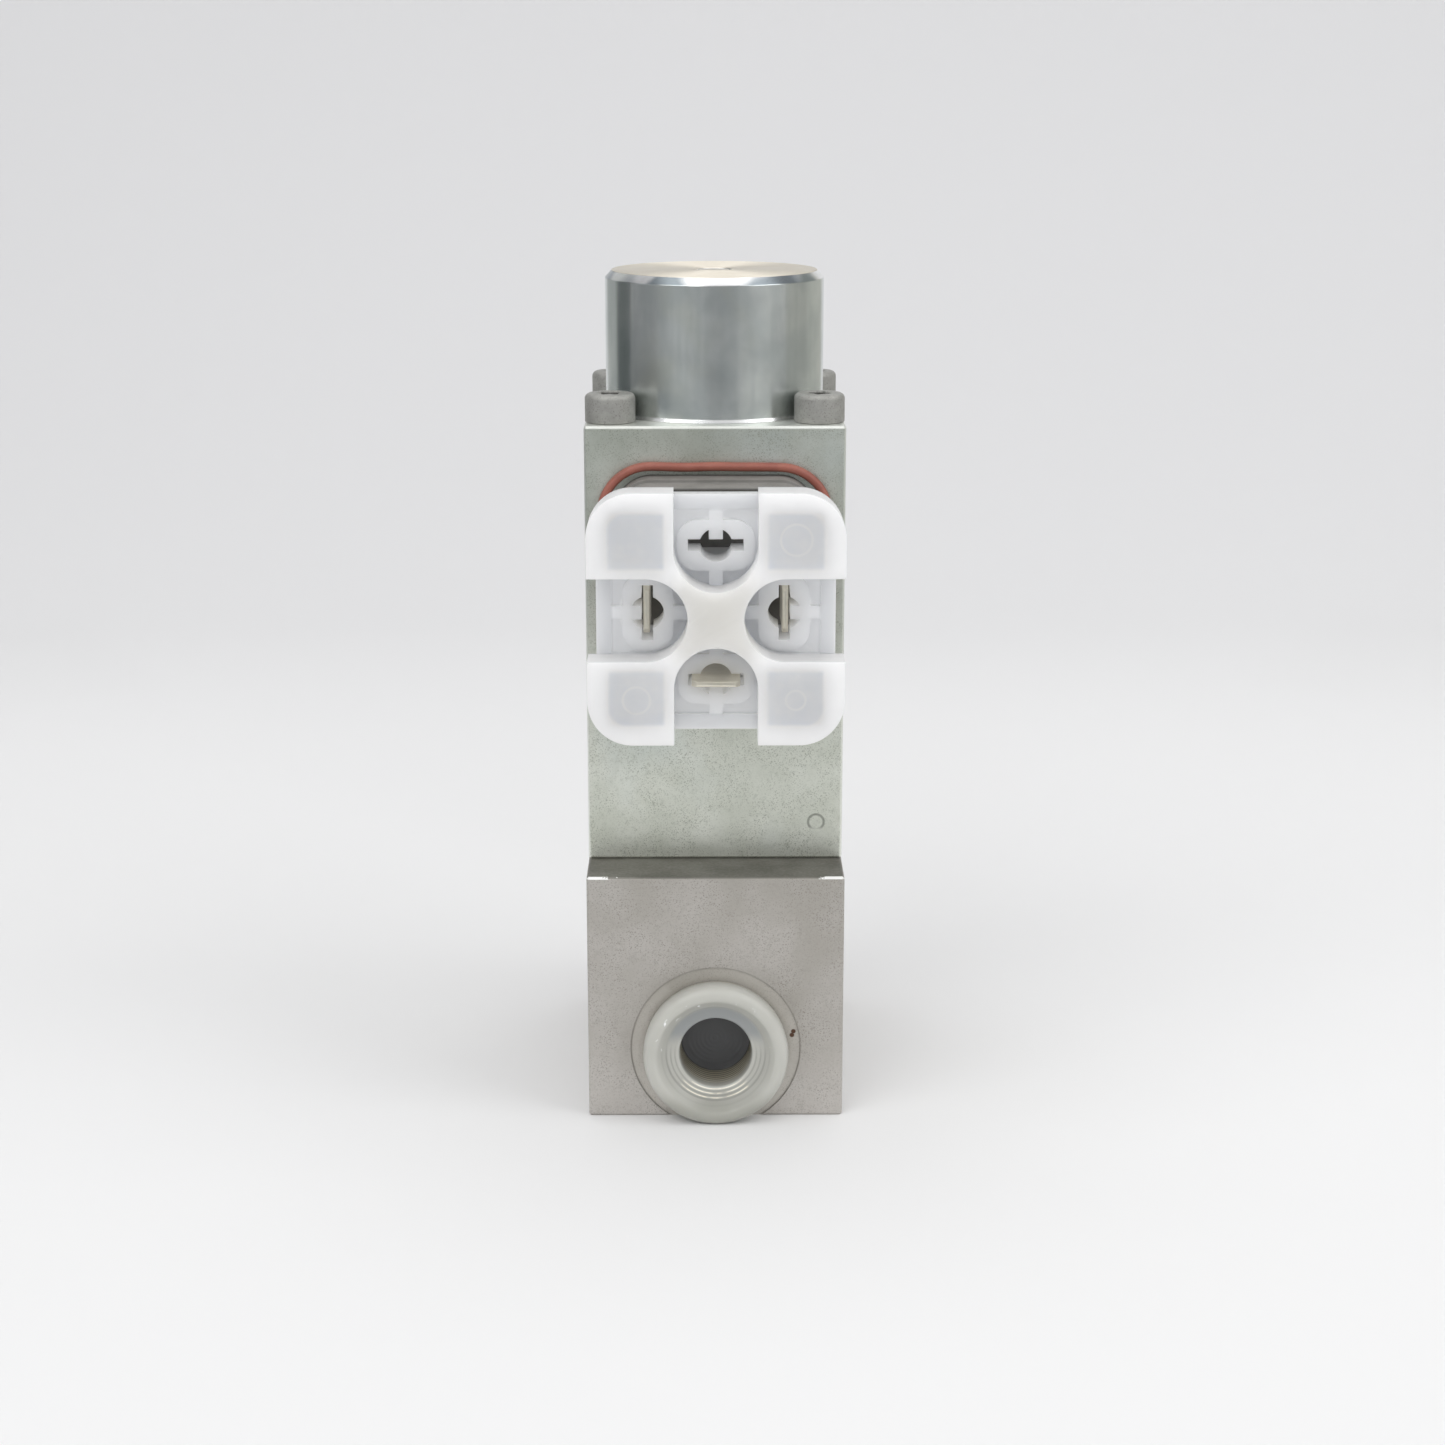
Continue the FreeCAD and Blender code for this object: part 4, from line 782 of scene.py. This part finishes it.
make_end_cap()
make_screw_heads()
make_plug("front_port_plug", "front")
make_plug("rear_port_plug", "back")
make_gasket()
make_ball_spring()
softened("solenoid_housing", 0.18)
softened("valve_block", 0.16)
softened("connector_base", 0.25)
softened("connector_cap", 0.28)
for blade in BLADES:
    softened(blade, 0.1, 2)

# ---------------------------------------------------------------------- stage


def make_stage():
    """Seamless floor that curves up into a wall behind the object."""
    reach, bend_start, bend, tall = 2.2, 0.30, 0.22, 1.6
    profile = [(-reach, 0.0), (bend_start, 0.0)]
    for step in range(1, 17):
        angle = math.pi / 2 * step / 16
        profile.append((bend_start + bend * math.sin(angle), bend * (1 - math.cos(angle))))
    profile.append((bend_start + bend, tall))
    verts = [(x, y, z) for y, z in profile for x in (-reach, reach)]
    faces = [(i * 2, i * 2 + 1, i * 2 + 3, i * 2 + 2) for i in range(len(profile) - 1)]
    mesh = bpy.data.meshes.new("backdrop")
    mesh.from_pydata(verts, [], faces)
    mesh.materials.append(stage_paper())
    floor = new_piece("backdrop", mesh)
    smooth(floor, 60)


def make_flags(bands):
    """Shaded sectors lying round the object that only reflections see.

    They put the dark and light bands into bright metal. Each band is its first and last
    bearing in degrees, 0 towards the camera and 90 to the right, and its colour. A band
    behind the object stands up at its far end, before it would run under the backdrop.
    """
    flat = [(0.27, 0.002), (1.8, 0.002)]
    standing = [(0.27, 0.002), (0.36, 0.004), (0.40, 0.40)]
    for number, (first, last, shade) in enumerate(bands):
        behind = min(abs(first), abs(last)) > 75
        edge = standing if behind else flat
        count = len(edge)
        verts = []
        for step in range(7):
            bearing = math.radians(first + (last - first) * step / 6)
            for reach, height in edge:
                verts.append((reach * math.sin(bearing), -reach * math.cos(bearing), height))
        faces = [(i * count + j, i * count + j + 1, (i + 1) * count + j + 1, (i + 1) * count + j)
                 for i in range(6) for j in range(count - 1)]
        mesh = bpy.data.meshes.new(f"flag_{number}")
        mesh.from_pydata(verts, [], faces)
        paint = Paint(f"flag_paint_{number}", Roughness=1.0, Base_Color=(*shade, 1.0))
        mesh.materials.append(paint.material)
        card = new_piece(f"flag_{number}", mesh)
        card.visible_camera = False
        card.visible_diffuse = False
        card.visible_shadow = False
        card.visible_transmission = False


def area_light(name, place, target, wide, tall, watts, mirrored=True):
    """A rectangular lamp; one that is not mirrored stays out of reflections."""
    data = bpy.data.lights.new(name, "AREA")
    data.shape = "RECTANGLE"
    data.size = wide
    data.size_y = tall
    data.energy = watts
    light = bpy.data.objects.new(name, data)
    light.visible_glossy = mirrored
    light.location = place
    light.rotation_euler = (Vector(target) - Vector(place)).to_track_quat("-Z", "Y").to_euler()
    scene.collection.objects.link(light)


def make_camera():
    """A long lens, a little above the object and looking slightly down on it."""
    data = bpy.data.cameras.new("camera")
    data.sensor_width = 36.0
    data.lens = 66.36
    data.clip_start = 0.01
    camera = bpy.data.objects.new("camera", data)
    camera.location = (-1.4 * MM, -381.3 * MM, 147.6 * MM)
    camera.rotation_euler = (math.pi / 2 - 0.2483, 0.0, -0.0067)
    scene.collection.objects.link(camera)
    scene.camera = camera


make_stage()
make_camera()
make_flags([
    (-152, -122, (0.42, 0.43, 0.42)),
    (-122, -96, (0.12, 0.13, 0.13)),
    (-96, -60, (0.05, 0.06, 0.065)),
    (-60, -48, (0.16, 0.19, 0.20)),
    (-48, -30, (0.31, 0.34, 0.35)),
    (-30, -8, (0.20, 0.23, 0.23)),
    (-8, 12, (0.07, 0.09, 0.095)),
    (12, 24, (0.17, 0.19, 0.19)),
    (24, 52, (0.43, 0.44, 0.42)),
    (52, 78, (0.38, 0.39, 0.36)),
    (78, 112, (0.42, 0.42, 0.39)),
    (112, 152, (0.50, 0.50, 0.46)),
])
area_light("key", (-0.45, -0.55, 0.75), (0, 0, 0.05), 0.7, 0.5, 2.9)
area_light("fill", (0.65, -0.35, 0.65), (0, 0, 0.06), 0.6, 0.6, 2.6)
area_light("top", (0.0, 0.10, 1.1), (0, 0.05, 0.0), 1.2, 0.8, 3.0)
area_light("front", (0.1, -1.1, 0.55), (0, 0, 0.05), 1.0, 0.7, 2.4, False)
world = bpy.data.worlds.new("studio")
world.use_nodes = True
background = world.node_tree.nodes["Background"]
background.inputs["Color"].default_value = (0.9, 0.9, 0.92, 1.0)
background.inputs["Strength"].default_value = 0.50
scene.world = world
